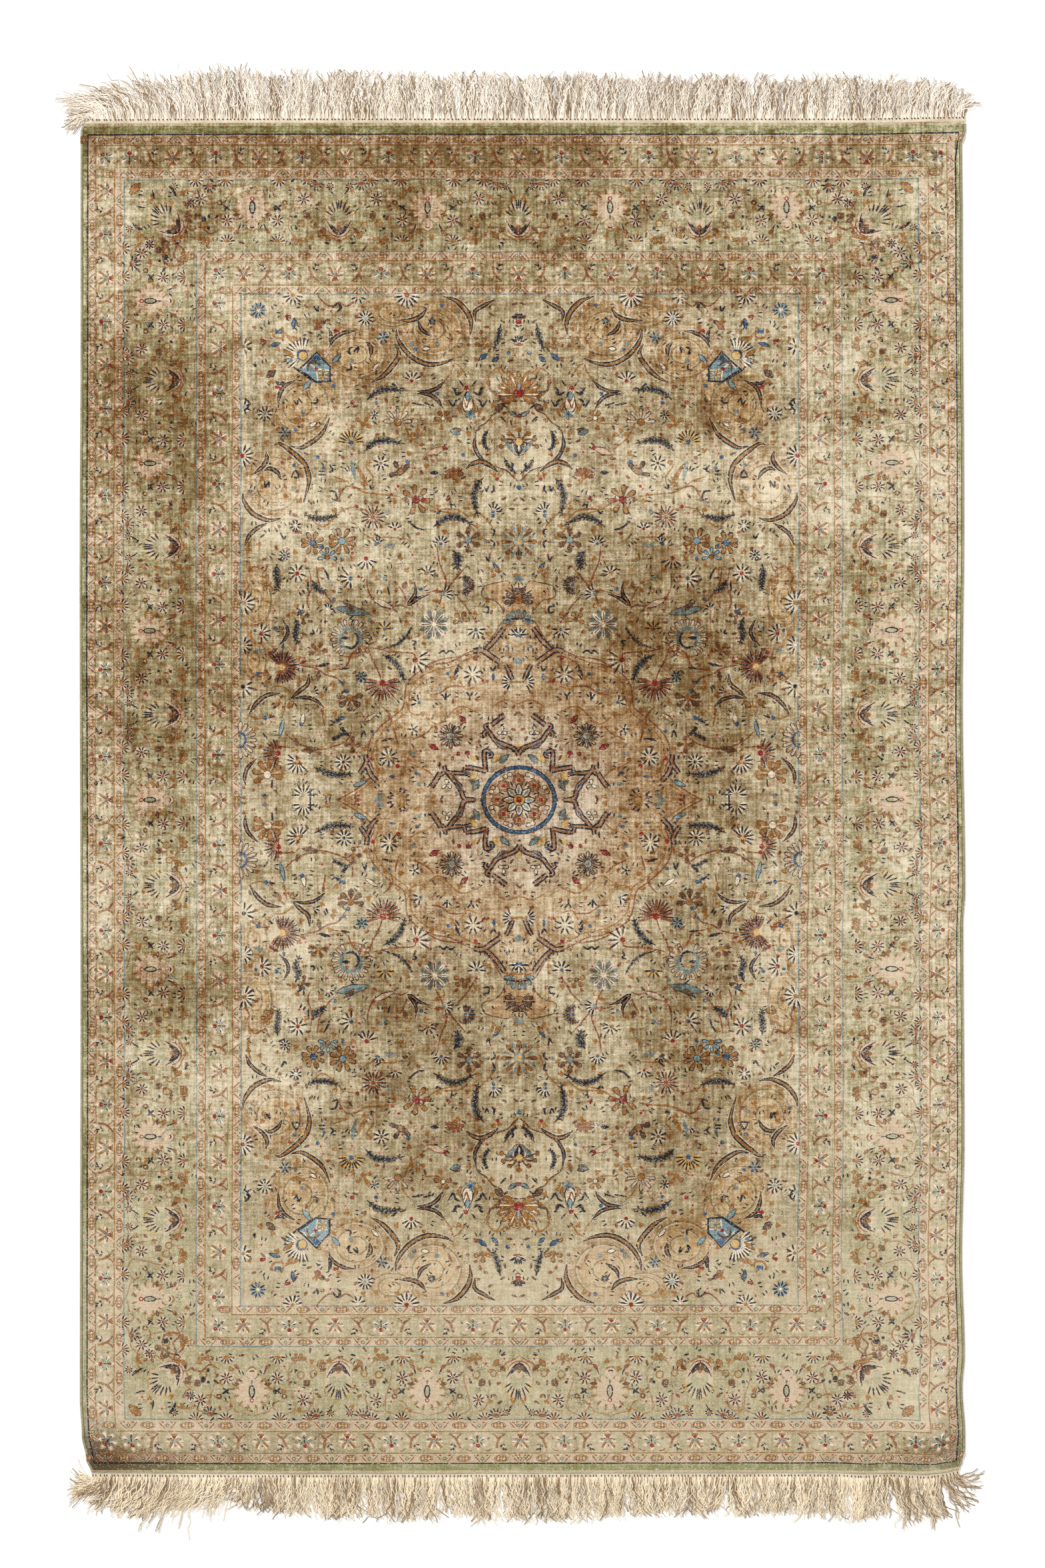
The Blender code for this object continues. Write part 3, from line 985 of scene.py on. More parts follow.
def corner_piece():
    """The main border's corner, with its palmette on the slant and the outer corner up and to the left."""
    board = Loom()
    board.stamp(palmette(False), 0, 0, 45)
    for side, turn in ((1, 0), (-1, 90)):
        turned = Loom()
        turned.petals("cream", 3, 42, 20, 0, 9.5, 6.5, 8, sides=6, form=drop)
        turned.petals("navy", 4, 42, 20, 1.5, 8, 2.3, 8, sides=6)
        turned.dots("red", 5, 2.2, (42, 20))
        turned.petal("brown", 4, (34, -2), (45, -10), 6.0)
        turned.patch("navy", 4, 61, -4, 4.0, 5.0)
        turned.stroke("navy", 4, ((9, 46), (15, 40), (20, 30)), 2.8)
        turned.stroke("gold", 2, ((14, 30), (28, 38), (48, 36), (58, 24), (72, 18), (88, 26)), 1.9)
        turned.stroke("rust", 2, ((30, -14), (44, -20), (58, -16), (70, -26), (84, -20)), 2.0)
        turned.petals("navy", 4, 70, 46, 4, 12, 2.6, 6, 180, 180, sides=6)
        turned.patch("rust", 5, 70, 47, 5.4, 3.6)
        turned.petal("gold", 4, (26, 30), (34, 40), 5.4)
        turned.petal("navy", 4, (76, -4), (84, 2), 3.0)
        matrix = Matrix.Identity(4)
        if turn:
            matrix = Matrix(((0, -1, 0, 0), (-1, 0, 0, 0), (0, 0, 1, 0), (0, 0, 0, 1)))
        board.lay(turned, matrix)
    board.ring("rust", 2, 16, -58, 17, 2.0, steps=12)
    board.petals("gold", 2, -37, 37, 2, 13, 6, 5, 85, 100, form=drop, line="brown")
    return board


# Where the borders' motifs stand on the upper left quarter, in drawn millimetres from the middle
GUARD_STEP = 33.5
MAIN_TOP = 882.0
MAIN_SIDE = -546.0
TOP_CANDLES = (-399.5, -136.5)
TOP_PALMETTES = (-269.5, 0.0)
SIDE_CANDLES = (748.5, 505.0, 254.0, 0.0)
SIDE_PALMETTES = (630.0, 380.0, 128.0)
CORNER_PLACE = (-533.5, 875.0)
MINOR_STEP = 58.0
# Wide guards: (y of the level run, x of the upright run, length of each)
WIDE_GUARDS = ((964.0, 620.0, 600.0, 930.0), (790.0, 450.0, 430.0, 762.0))
# Narrow guards: (y of the level run, x of the upright run)
NARROW_GUARDS = ((990.0, 640.0), (939.0, 598.5), (815.5, 476.5), (764.0, 423.0))
# Thin lines between the bands: (x, y, yarn, thickness)
THIN_LINES = (
    (646.5, 998.0, "navy", 1.6),
    (634.0, 982.0, "gold", 1.2),
    (606.0, 948.5, "gold", 1.2),
    (591.5, 930.0, "teal", 1.8),
    (483.0, 822.0, "teal", 1.4),
    (470.0, 808.5, "gold", 1.2),
    (429.5, 772.0, "gold", 1.2),
    (416.5, 758.5, "teal", 1.9),
)


def weave_borders(quarter, upright, level):
    """Fill the borders of one quarter, and what stands on the middle lines."""
    bud_flower, fan_flower, sprig = guard_bud(), guard_fan(), guard_sprig()
    guards = (fan_flower, sprig, bud_flower, sprig)
    pair = minor_pair()
    span = candle_span()
    flower = palmette()

    # Wide guards: outer and inner, along the top and up the side
    for height, width, reach, tall in WIDE_GUARDS:
        steps_top = round(reach / GUARD_STEP) // 2 * 2
        gap = reach / (steps_top + 0.5)
        for step in range(steps_top + 1):
            target = upright if step == 0 else quarter
            target.stamp(guards[step % 4], -step * gap, height, flip=step % 4 == 1)
        steps_side = round(tall / GUARD_STEP) // 2 * 2
        gap = tall / (steps_side + 0.5)
        for step in range(steps_side + 1):
            target = level if step == 0 else quarter
            target.stamp(guards[step % 4], -width, step * gap, 90, flip=step % 4 == 3)
        quarter.stamp(bud_flower, -width, height, 45)

    # Narrow guards on both sides of each wide one
    for height, width in NARROW_GUARDS:
        steps = round(width / MINOR_STEP)
        gap = width / (steps + 0.25)
        for step in range(steps + 1):
            place = -(step + 0.25) * gap - gap * 0.05
            quarter.stamp(pair, place, height, stretch=gap / MINOR_STEP)
        steps = round(height / MINOR_STEP)
        gap = height / (steps + 0.25)
        for step in range(steps):
            quarter.stamp(pair, -width, (step + 0.3) * gap, 90, stretch=gap / MINOR_STEP)

    # Main border
    for x in TOP_CANDLES:
        quarter.stamp(span, x, MAIN_TOP)
    for x in TOP_PALMETTES:
        target = upright if x == 0.0 else quarter
        target.stamp(flower, x, MAIN_TOP - 2, stretch=0.95)
    for y in SIDE_CANDLES:
        target = level if y == 0.0 else quarter
        target.stamp(span, MAIN_SIDE, y, 90, stretch=0.93)
    for y in SIDE_PALMETTES:
        quarter.stamp(flower, MAIN_SIDE + 4, y, 90, stretch=0.95)
    quarter.stamp(corner_piece(), *CORNER_PLACE)

    # A pale line at the ends, a painted highlight where the pile rolls over its edge, and thin lines between
    # the bands
    quarter.stroke("halo", 1, ((-657, 1013), (-330, 1013), (0, 1013)), 5.0, 1.0, 1.0, steps=10)
    for width, height, yarn, thick in THIN_LINES:
        upright_line = ((-width, 0), (-width, height * 0.5), (-width, height))
        level_line = ((-width, height), (-width * 0.5, height), (0, height))
        quarter.stroke(yarn, 1, upright_line, thick, 1.0, 1.0, steps=12)
        quarter.stroke(yarn, 1, level_line, thick, 1.0, 1.0, steps=10)


# Field: places are millimetres right and down from the corner of the drawing sheet
SHEET_MIDDLE = (778.5, 1200.0)

# Scroll arms of the corner scrolls: (thickness, points along the arm)
SCROLLS = (
    (6.2, (666, 445), (685, 452), (700, 467), (707, 484), (706, 503)),
    (4.6, (714, 483), (713, 468), (726, 459), (743, 450)),
    (5.2, (640, 464), (631, 475), (616, 481), (600, 481)),
    (4.2, (628, 482), (633, 495), (648, 505)),
    (5.6, (595, 494), (596, 506), (604, 521), (617, 535), (635, 545), (651, 547), (668, 544), (681, 538)),
    (4.4, (494, 522), (501, 509), (515, 500), (534, 497)),
    (3.4, (494, 494), (497, 504), (494, 514)),
    (4.8, (550, 513), (557, 523), (556, 536)),
    (6.0, (593, 516), (599, 532), (590, 548), (575, 564), (557, 574)),
    (4.4, (418, 612), (420, 592), (428, 579), (443, 571)),
    (3.4, (413, 572), (420, 576), (428, 573)),
    (5.4, (437, 670), (452, 672), (466, 665), (477, 657), (486, 647), (495, 627)),
    (6.2, (412, 668), (421, 666), (436, 676), (447, 685), (458, 697), (464, 714), (463, 731), (456, 754)),
    (4.8, (399, 677), (401, 689), (394, 701), (380, 712)),
    (4.6, (397, 706), (406, 703), (417, 709), (423, 720)),
    (5.6, (365, 740), (367, 752), (378, 768), (390, 776), (405, 781), (422, 778)),
    (4.4, (401, 785), (387, 793), (375, 804), (369, 818)),
    (4.2, (626, 587), (641, 588), (657, 582), (668, 571)),
    (4.4, (626, 591), (643, 592), (656, 600), (665, 613)),
    (4.0, (714, 650), (712, 669), (720, 686), (730, 693)),
    (5.4, (699, 704), (709, 696), (722, 693), (736, 699), (747, 708)),
    (4.8, (375, 1072), (386, 1055), (402, 1043), (422, 1040)),
    (4.2, (387, 1137), (373, 1151), (368, 1165), (369, 1177)),
    (4.0, (623, 873), (624, 890), (614, 907), (630, 897), (645, 892)),
    (4.8, (465, 1011), (463, 1026), (450, 1037), (438, 1048)),
    (4.0, (441, 1048), (458, 1046), (474, 1050), (487, 1061)),
    (3.6, (426, 930), (433, 945), (430, 957), (421, 967)),
)

# Feathered leaves: (thickness, points along the rib)
FEATHERS = (
    (7.0, (752, 486), (748, 505), (740, 528)),
    (8.0, (551, 600), (566, 588), (584, 584), (606, 587)),
    (8.5, (548, 677), (560, 665), (580, 661), (607, 666)),
    (8.0, (726, 716), (714, 732), (712, 752), (718, 777)),
    (8.0, (650, 791), (667, 779), (686, 776), (714, 790)),
    (7.0, (458, 772), (474, 778), (490, 778), (510, 772)),
    (8.0, (417, 846), (415, 860), (418, 874), (416, 887)),
    (8.0, (469, 870), (476, 882), (490, 889)),
    (3.6, (573, 975), (597, 966), (611, 954), (620, 938)),
    (7.6, (575, 982), (591, 991), (602, 1005), (608, 1024)),
    (8.0, (471, 1150), (490, 1159), (508, 1162), (531, 1160)),
    (11.0, (680, 826), (688, 838), (686, 856)),
    (8.0, (443, 926), (448, 940), (444, 952), (450, 967)),
    (5.4, (733, 644), (727, 655), (727, 668), (735, 677)),
    (5.0, (756, 686), (763, 700), (777, 712)),
    (4.4, (526, 1105), (519, 1100), (505, 1107), (500, 1109)),
)

# Small ray flowers: (x, y, facing, span, rays, reach, petals' yarn, eye's yarn)
RAYS = (
    (388, 466, 90, 360, 10, 12, "sky", "cream"),
    (440, 443, 270, 180, 7, 15, "cream", "gold"),
    (611, 443, 270, 180, 8, 19, "cream", "red"),
    (366, 520, 0, 180, 5, 13, "cream", "gold"),
    (366, 611, 0, 180, 5, 12, "cream", "sky"),
    (364, 684, 0, 170, 7, 17, "cream", "red"),
    (538, 445, 270, 170, 5, 12, "cream", "cream"),
    (398, 621, 90, 360, 9, 11, "cream", "sky"),
    (549, 478, 90, 360, 11, 12, "cream", "sky"),
    (575, 507, 100, 360, 6, 9, "sky", "blue"),
    (428, 649, 90, 360, 6, 9, "sky", "blue"),
    (649, 482, 60, 360, 5, 6, "navy", "teal"),
    (527, 664, 90, 190, 11, 19, "yellow", "blue"),
    (618, 572, 90, 150, 6, 15, "cream", "red"),
    (562, 623, 60, 360, 7, 7, "cream", "navy"),
    (572, 695, 90, 360, 8, 12, "cream", "brown"),
    (526, 711, 90, 110, 5, 12, "cream", "cream"),
    (568, 815, 90, 140, 5, 10, "cream", "blue"),
    (662, 816, 90, 170, 7, 13, "cream", "blue"),
    (560, 776, 90, 360, 8, 18, "rust", "rust"),
    (593, 794, 90, 160, 5, 11, "cream", "red"),
    (444, 789, 90, 360, 8, 9, "cream", "cream"),
    (428, 833, 80, 360, 9, 8, "cream", "navy"),
    (550, 838, 280, 140, 6, 17, "cream", "red"),
    (447, 860, 200, 320, 9, 14, "cream", "red"),
    (527, 868, 200, 170, 6, 16, "cream", "blue"),
    (642, 860, 60, 200, 6, 12, "cream", "blue"),
    (698, 878, 0, 200, 8, 15, "brown", "blue"),
    (715, 945, 270, 220, 7, 14, "cream", "blue"),
    (666, 891, 20, 130, 6, 14, "cream", "sky"),
    (578, 944, 90, 200, 6, 13, "yellow", "blue"),
    (456, 918, 150, 160, 4, 11, "cream", "blue"),
    (493, 914, 60, 150, 5, 9, "cream", "cream"),
    (393, 950, 0, 200, 7, 15, "cream", "red"),
    (366, 905, 20, 200, 8, 18, "cream", "gold"),
    (366, 968, 0, 170, 6, 14, "cream", "cream"),
    (424, 1001, 10, 250, 14, 25, "rust", "yellow"),
    (624, 990, 330, 150, 6, 22, "cream", "red"),
    (575, 1025, 270, 210, 9, 27, "rust", "red"),
    (543, 1015, 90, 360, 7, 9, "sky", "blue"),
    (418, 1130, 180, 170, 7, 22, "rust", "red"),
    (448, 1143, 230, 190, 9, 18, "cream", "rust"),
    (516, 1143, 90, 360, 10, 13, "cream", "navy"),
    (456, 1193, 90, 200, 8, 17, "cream", "sage"),
    (366, 1030, 330, 140, 5, 17, "cream", "navy"),
    (470, 1038, 20, 100, 4, 10, "cream", "teal"),
    (777, 517, 90, 130, 5, 13, "cream", "rust"),
    (777, 481, 90, 130, 5, 11, "rust", "red"),
    (740, 768, 60, 140, 6, 13, "cream", "blue"),
    (710, 1012, 90, 360, 8, 14, "cream", "cream"),
    (584, 1136, 90, 360, 9, 14, "cream", "cream"),
    (630, 1054, 150, 130, 4, 12, "cream", "blue"),
    (670, 1049, 90, 110, 4, 10, "cream", "rust"),
    (776, 954, 90, 190, 6, 13, "cream", "blue"),
    (621, 1094, 0, 360, 5, 8, "cream", "navy"),
    (768, 1023, 180, 150, 7, 14, "cream", "gold"),
)

# Flowers with rounded petals: (x, y, facing, span, petals, reach, petal width, petals' yarn,
# line's yarn, eye's yarn)
BLOOMS = (
    (777, 590, 90, 250, 7, 25, 9, "gold", "brown", "red"),
    (597, 634, 90, 170, 5, 21, 6, "pink", "navy", "gold"),
    (624, 750, 20, 250, 6, 22, 8, "gold", "navy", "red"),
    (703, 810, 90, 360, 6, 19, 8, "brown", "brown", "sky"),
    (402, 1162, 100, 220, 6, 23, 9, "gold", "brown", "cream"),
    (777, 901, 90, 200, 6, 19, 7, "brown", "navy", "gold"),
    (405, 875, 200, 180, 4, 12, 6, "gold", "brown", "gold"),
    (447, 1143, 90, 360, 3, 7, 4, "rust", "brown", "brown"),
    (693, 930, 100, 200, 4, 12, 7, "gold", "brown", "brown"),
    (478, 977, 100, 190, 4, 14, 8, "brown", "gold", "gold"),
    (665, 628, 90, 200, 4, 12, 7, "gold", "brown", "cream"),
    (726, 520, 90, 150, 3, 13, 7, "gold", "brown", "gold"),
    (526, 1047, 270, 200, 5, 19, 9, "brown", "brown", "gold"),
    (530, 1117, 90, 360, 4, 12, 7, "brown", "rust", "gold"),
    (601, 708, 120, 160, 3, 17, 7, "brown", "navy", "gold"),
    (545, 637, 60, 150, 3, 13, 6, "gold", "gold", "gold"),
    (627, 654, 90, 150, 3, 10, 6, "gold", "gold", "sky"),
    (455, 926, 20, 200, 3, 10, 6, "brown", "brown", "gold"),
    (682, 716, 100, 150, 5, 14, 6, "rust", "rust", "gold"),
    (514, 812, 180, 330, 8, 20, 7, "gold", "navy", "sky"),
    (470, 815, 0, 330, 8, 17, 7, "gold", "navy", "blue"),
    (492, 836, 90, 200, 5, 14, 6, "sky", "navy", "gold"),
)

# Single pointed petals and small leaves: (yarn, line's yarn, width, root x, root y, tip x, tip y)
LEAVES = (
    ("blue", "navy", 5.4, 440, 494, 442, 478),
    ("blue", "navy", 5.0, 405, 520, 421, 515),
    ("sky", "navy", 6.0, 499, 545, 511, 532),
    ("sky", "navy", 6.4, 455, 586, 467, 570),
    ("gold", "brown", 6.0, 436, 632, 457, 631),
    ("cream", "navy", 5.0, 465, 640, 475, 634),
    ("cream", "navy", 5.0, 559, 556, 569, 545),
    ("brown", "navy", 7.0, 401, 566, 413, 556),
    ("gold", "gold", 5.0, 441, 515, 428, 500),
    ("gold", "gold", 4.6, 451, 512, 437, 505),
    ("gold", "brown", 5.0, 441, 536, 426, 525),
    ("rust", "rust", 6.0, 472, 495, 486, 480),
    ("navy", "navy", 4.0, 481, 489, 490, 480),
    ("cream", "navy", 5.4, 634, 524, 645, 523),
    ("rust", "rust", 3.4, 673, 521, 680, 506),
    ("blue", "navy", 6.0, 718, 541, 731, 531),
    ("blue", "navy", 5.0, 739, 543, 748, 536),
    ("rust", "rust", 5.0, 712, 543, 718, 536),
    ("gold", "gold", 4.0, 716, 626, 724, 612),
    ("brown", "navy", 6.0, 743, 616, 755, 606),
    ("teal", "navy", 5.0, 763, 617, 775, 625),
    ("brown", "navy", 5.0, 676, 647, 692, 645),
    ("teal", "navy", 7.0, 676, 646, 690, 652),
    ("gold", "gold", 6.0, 700, 645, 706, 656),
    ("brown", "navy", 7.0, 592, 712, 612, 702),
    ("navy", "navy", 5.0, 645, 710, 658, 709),
    ("teal", "teal", 7.0, 528, 690, 534, 722),
    ("gold", "gold", 5.0, 534, 696, 553, 730),
    ("blue", "navy", 4.6, 740, 844, 750, 858),
    ("gold", "gold", 4.0, 733, 850, 741, 860),
    ("gold", "gold", 4.4, 805, 858, 816, 852),
    ("brown", "gold", 5.4, 610, 872, 606, 884),
    ("gold", "gold", 5.0, 662, 902, 648, 900),
    ("brown", "brown", 4.6, 404, 983, 418, 972),
    ("teal", "teal", 6.0, 380, 980, 396, 974),
    ("sky", "navy", 5.0, 420, 1107, 427, 1078),
    ("cream", "navy", 6.0, 453, 1090, 457, 1070),
    ("navy", "navy", 3.4, 423, 1096, 426, 1079),
    ("gold", "brown", 5.0, 432, 1062, 442, 1052),
    ("gold", "brown", 6.0, 413, 1060, 421, 1050),
    ("brown", "brown", 8.0, 452, 1127, 480, 1122),
    ("blue", "blue", 5.0, 502, 1084, 515, 1077),
    ("cream", "navy", 5.4, 548, 1082, 565, 1071),
    ("blue", "blue", 4.0, 508, 1020, 519, 1028),
    ("navy", "navy", 4.0, 477, 1000, 497, 995),
    ("brown", "brown", 6.0, 480, 1006, 478, 1022),
    ("red", "red", 4.6, 451, 996, 461, 991),
    ("navy", "navy", 3.6, 511, 1092, 521, 1098),
    ("sky", "navy", 6.0, 531, 1179, 550, 1172),
    ("teal", "teal", 7.0, 566, 1193, 577, 1193),
    ("gold", "gold", 4.0, 484, 1192, 499, 1192),
    ("navy", "navy", 3.0, 572, 1112, 590, 1107),
    ("teal", "teal", 6.0, 616, 1134, 624, 1128),
    ("navy", "navy", 3.4, 682, 1016, 690, 996),
    ("red", "red", 4.0, 723, 1017, 728, 1025),
    ("blue", "blue", 5.0, 741, 1010, 741, 1021),
    ("blue", "blue", 4.4, 584, 1165, 594, 1165),
    ("teal", "teal", 7.0, 771, 992, 781, 992),
    ("red", "navy", 6.0, 690, 1074, 700, 1084),
    ("red", "navy", 7.0, 644, 1117, 658, 1124),
    ("yellow", "teal", 9.0, 738, 1144, 752, 1130),
    ("teal", "navy", 7.0, 750, 1144, 764, 1132),
    ("yellow", "teal", 9.0, 706, 1170, 716, 1158),
    ("teal", "navy", 7.0, 710, 1186, 718, 1170),
    ("teal", "navy", 13.0, 504, 912, 555, 921),
    ("brown", "navy", 6.0, 520, 905, 532, 917),
    ("pink", "navy", 8.0, 560, 899, 590, 912),
    ("pink", "rust", 9.0, 640, 682, 668, 672),
    ("sage", "brown", 6.0, 614, 751, 604, 749),
)

# Dots and buds: (yarn, radius, places)
DOTS = (
    ("blue", 3.2, (664, 459), (623, 524), (501, 579), (565, 605)),
    ("blue", 3.2, (763, 530), (656, 591), (612, 693), (477, 686)),
    ("blue", 2.8, (486, 702), (442, 698), (376, 737), (695, 683)),
    ("blue", 2.8, (565, 816), (483, 819), (514, 838), (444, 645)),
    ("blue", 3.4, (399, 1077), (515, 1077), (522, 1037), (502, 899), (415, 943), (388, 1011), (453, 1086)),
    ("blue", 3.0, (625, 1160), (560, 1097), (632, 884), (740, 774), (455, 918), (397, 1193), (673, 1011)),
    ("blue", 2.6, (426, 970), (777, 731), (583, 1096), (761, 970), (384, 946)),
    ("red", 3.0, (777, 484), (536, 760), (447, 861), (560, 898)),
    ("red", 3.0, (746, 719), (421, 1121), (407, 979), (700, 582)),
    ("red", 3.4, (667, 672), (636, 750), (624, 990), (529, 604)),
    ("red", 3.4, (688, 1131), (714, 988), (559, 1138), (597, 1149)),
    ("red", 2.4, (715, 933), (730, 683), (575, 1026), (420, 1121)),
    ("red", 2.4, (538, 1193), (530, 830), (539, 865), (674, 748)),
    ("red", 2.2, (671, 750), (445, 798), (588, 742), (598, 730)),
    ("red", 2.2, (758, 1152), (408, 980), (777, 625), (394, 511)),
    ("rust", 3.0, (515, 687), (703, 518), (637, 553), (503, 612)),
    ("rust", 3.0, (548, 581), (640, 688), (650, 692), (633, 667)),
    ("rust", 2.6, (646, 660), (728, 1152), (679, 1168), (704, 1160)),
    ("rust", 2.6, (366, 1181), (366, 1204), (608, 750), (621, 1134)),
    ("rust", 2.6, (560, 770), (575, 758), (543, 765), (572, 790), (420, 790), (480, 1130), (592, 1140)),
    ("yellow", 2.8, (394, 475), (454, 700), (492, 1061), (741, 910)),
    ("yellow", 2.8, (710, 1137), (664, 909), (447, 1143), (400, 905)),
    ("yellow", 2.4, (516, 640), (590, 590), (600, 535), (572, 800)),
    ("yellow", 2.4, (545, 970), (636, 960), (442, 1124), (488, 1075)),
    ("gold", 3.2, (752, 670), (755, 659), (764, 650), (777, 645)),
    ("gold", 3.2, (484, 1122), (640, 860), (602, 838), (400, 650)),
    ("teal", 3.6, (440, 733), (657, 517), (436, 541), (455, 618)),
    ("teal", 3.6, (528, 541), (618, 516), (582, 768), (582, 818)),
    ("teal", 3.2, (590, 818), (570, 865), (578, 868), (556, 930)),
    ("teal", 3.2, (629, 1176), (660, 1033), (569, 1193), (728, 812)),
)

# Dark ticks, hooks and squiggles: (points along each)
TICKS = (
    ((521, 527), (526, 532), (524, 524), (530, 521)),
    ((531, 528), (538, 521), (536, 530)),
    ((526, 546), (527, 554), (519, 556)),
    ((441, 601), (446, 607), (448, 598), (453, 605)),
    ((476, 596), (476, 604), (467, 605)),
    ((471, 460), (477, 467), (478, 459)),
    ((380, 546), (384, 550), (383, 543)),
    ((596, 583), (591, 577), (588, 577)),
    ((560, 632), (566, 637)),
    ((618, 605), (636, 608)),
    ((636, 604), (650, 609)),
    ((754, 607), (762, 613)),
    ((751, 625), (759, 633)),
    ((766, 704), (770, 698), (767, 694)),
    ((737, 740), (741, 735), (740, 728)),
    ((398, 722), (399, 731), (405, 722), (404, 731)),
    ((438, 716), (444, 706), (449, 716), (438, 716)),
    ((478, 712), (488, 712)),
    ((479, 707), (487, 707)),
    ((495, 698), (500, 705), (495, 709)),
    ((494, 737), (503, 738), (506, 750), (498, 748)),
    ((556, 727), (557, 733), (562, 731)),
    ((653, 767), (657, 770), (662, 766)),
    ((613, 782), (625, 792), (637, 795)),
    ((676, 752), (677, 758), (682, 756)),
    ((727, 731), (730, 737), (733, 729)),
    ((422, 800), (427, 808), (430, 804)),
    ((392, 806), (398, 802)),
    ((418, 838), (427, 842)),
    ((450, 888), (453, 894)),
    ((455, 885), (458, 891)),
    ((486, 852), (492, 862), (494, 870)),
    ((463, 872), (463, 884)),
    ((582, 880), (585, 892)),
    ((620, 968), (625, 963), (619, 961)),
    ((725, 918), (733, 919), (733, 911), (727, 910)),
    ((736, 1000), (741, 1006), (745, 999)),
    ((659, 981), (666, 976), (670, 980), (676, 976), (683, 980)),
    ((486, 1034), (489, 1028)),
    ((489, 1038), (492, 1030)),
    ((512, 1004), (525, 1002)),
    ((396, 1100), (402, 1108)),
    ((543, 1106), (547, 1096), (550, 1106)),
    ((500, 1085), (510, 1079)),
    ((409, 1170), (409, 1181)),
    ((466, 1183), (466, 1204)),
    ((470, 944), (472, 950), (466, 951)),
    ((404, 1020), (409, 1014)),
    ((415, 1020), (421, 1016)),
    ((399, 1030), (394, 1024)),
    ((740, 822), (742, 815), (736, 810)),
    ((739, 806), (742, 796), (737, 794)),
    ((729, 835), (733, 842), (735, 834)),
    ((500, 462), (508, 455), (512, 462), (506, 468)),
    ((368, 598), (374, 604), (372, 612), (366, 616)),
    ((706, 1045), (701, 1038)),
    ((706, 1045), (711, 1038)),
    ((706, 1045), (706, 1051)),
    ((670, 1038), (670, 1049)),
    ((665, 1042), (669, 1049)),
    ((660, 1143), (660, 1153)),
    ((689, 1012), (683, 1020)),
    ((562, 800), (570, 806)),
    ((404, 1077), (413, 1074)),
)

# Fine vines: (yarn, points along each)
VINES = (
    ("gold", (778, 558), (760, 560), (748, 552), (734, 562), (733, 580), (742, 592), (752, 600)),
    ("gold", (681, 545), (690, 550), (697, 560), (706, 562)),
    ("gold", (668, 571), (676, 560), (680, 552)),
    ("gold", (620, 600), (612, 606), (604, 620), (608, 640), (620, 660), (640, 676)),
    ("gold", (664, 613), (668, 622), (660, 634), (648, 636), (634, 634), (630, 622)),
    ("gold", (520, 722), (545, 738), (575, 742), (600, 745)),
    ("gold", (505, 722), (520, 722), (500, 715)),
    ("gold", (636, 752), (660, 766), (690, 775), (715, 800), (722, 810)),
    ("gold", (660, 764), (690, 766), (706, 780)),
    ("gold", (460, 770), (482, 790), (500, 780), (515, 765), (536, 760)),
    ("gold", (545, 800), (560, 808), (580, 806), (612, 809)),
    ("gold", (558, 730), (560, 716), (550, 700), (556, 690)),
    ("rust", (465, 852), (468, 880), (462, 900), (466, 916)),
    ("rust", (476, 850), (480, 876), (492, 895), (502, 905)),
    ("rust", (552, 862), (552, 880), (560, 898), (580, 912), (600, 908), (612, 912)),
    ("rust", (612, 905), (606, 890), (600, 880)),
    ("rust", (656, 820), (660, 845), (670, 870), (666, 886), (654, 890)),
    ("rust", (700, 850), (684, 868), (670, 885), (666, 889)),
    ("rust", (686, 895), (700, 910), (714, 932)),
    ("rust", (640, 890), (656, 886), (664, 890), (660, 905), (650, 920)),
    ("rust", (506, 752), (520, 730), (546, 735)),
    ("rust", (475, 440), (484, 452), (497, 460), (510, 454), (520, 460), (532, 452), (540, 440)),
    ("rust", (372, 862), (382, 850), (398, 856), (404, 845)),
    ("rust", (363, 892), (374, 880), (370, 866)),
    ("rust", (452, 998), (475, 1003), (490, 1012), (508, 1018), (520, 1036)),
    ("rust", (500, 1005), (520, 1000), (530, 980), (552, 968), (566, 962)),
    ("rust", (560, 972), (590, 978), (620, 980), (624, 988)),
    ("rust", (552, 968), (560, 990), (568, 1005), (574, 1022)),
    (
        "rust",
        (528, 1084),
        (528, 1100),
        (519, 1112),
        (500, 1120),
        (480, 1124),
        (455, 1118),
        (438, 1108),
        (428, 1098),
    ),
    ("rust", (376, 1020), (390, 1010), (405, 1010)),
    ("rust", (486, 1062), (486, 1075), (488, 1088)),
    ("rust", (394, 1008), (388, 1016), (400, 1012)),
    ("gold", (372, 1072), (388, 1078), (399, 1076)),
    ("gold", (430, 1050), (428, 1064), (424, 1076)),
    ("rust", (420, 1120), (440, 1122), (450, 1128)),
    ("rust", (575, 1060), (588, 1075), (586, 1090)),
    ("gold", (500, 975), (520, 985), (540, 985)),
    ("rust", (592, 1092), (594, 1102), (598, 1116)),
    ("gold", (700, 752), (720, 770), (738, 790), (745, 812)),
    ("gold", (380, 800), (372, 830), (378, 852)),
    ("rust", (396, 1145), (410, 1142), (424, 1143)),
    ("gold", (440, 1040), (425, 1030), (410, 1030)),
    ("rust", (640, 1000), (660, 990), (690, 985)),
    ("gold", (610, 1140), (625, 1150), (640, 1155), (652, 1166)),
    ("rust", (600, 1185), (606, 1184), (612, 1186)),
    ("gold", (690, 1020), (700, 1034), (716, 1030)),
    ("gold", (640, 1076), (660, 1086), (690, 1060), (720, 1070)),
    ("rust", (646, 1042), (660, 1040), (676, 1030), (700, 1030)),
    ("gold", (610, 1050), (618, 1070), (640, 1072)),
    ("gold", (740, 1060), (760, 1050), (778, 1056)),
    ("rust", (620, 1110), (640, 1100), (650, 1090)),
)

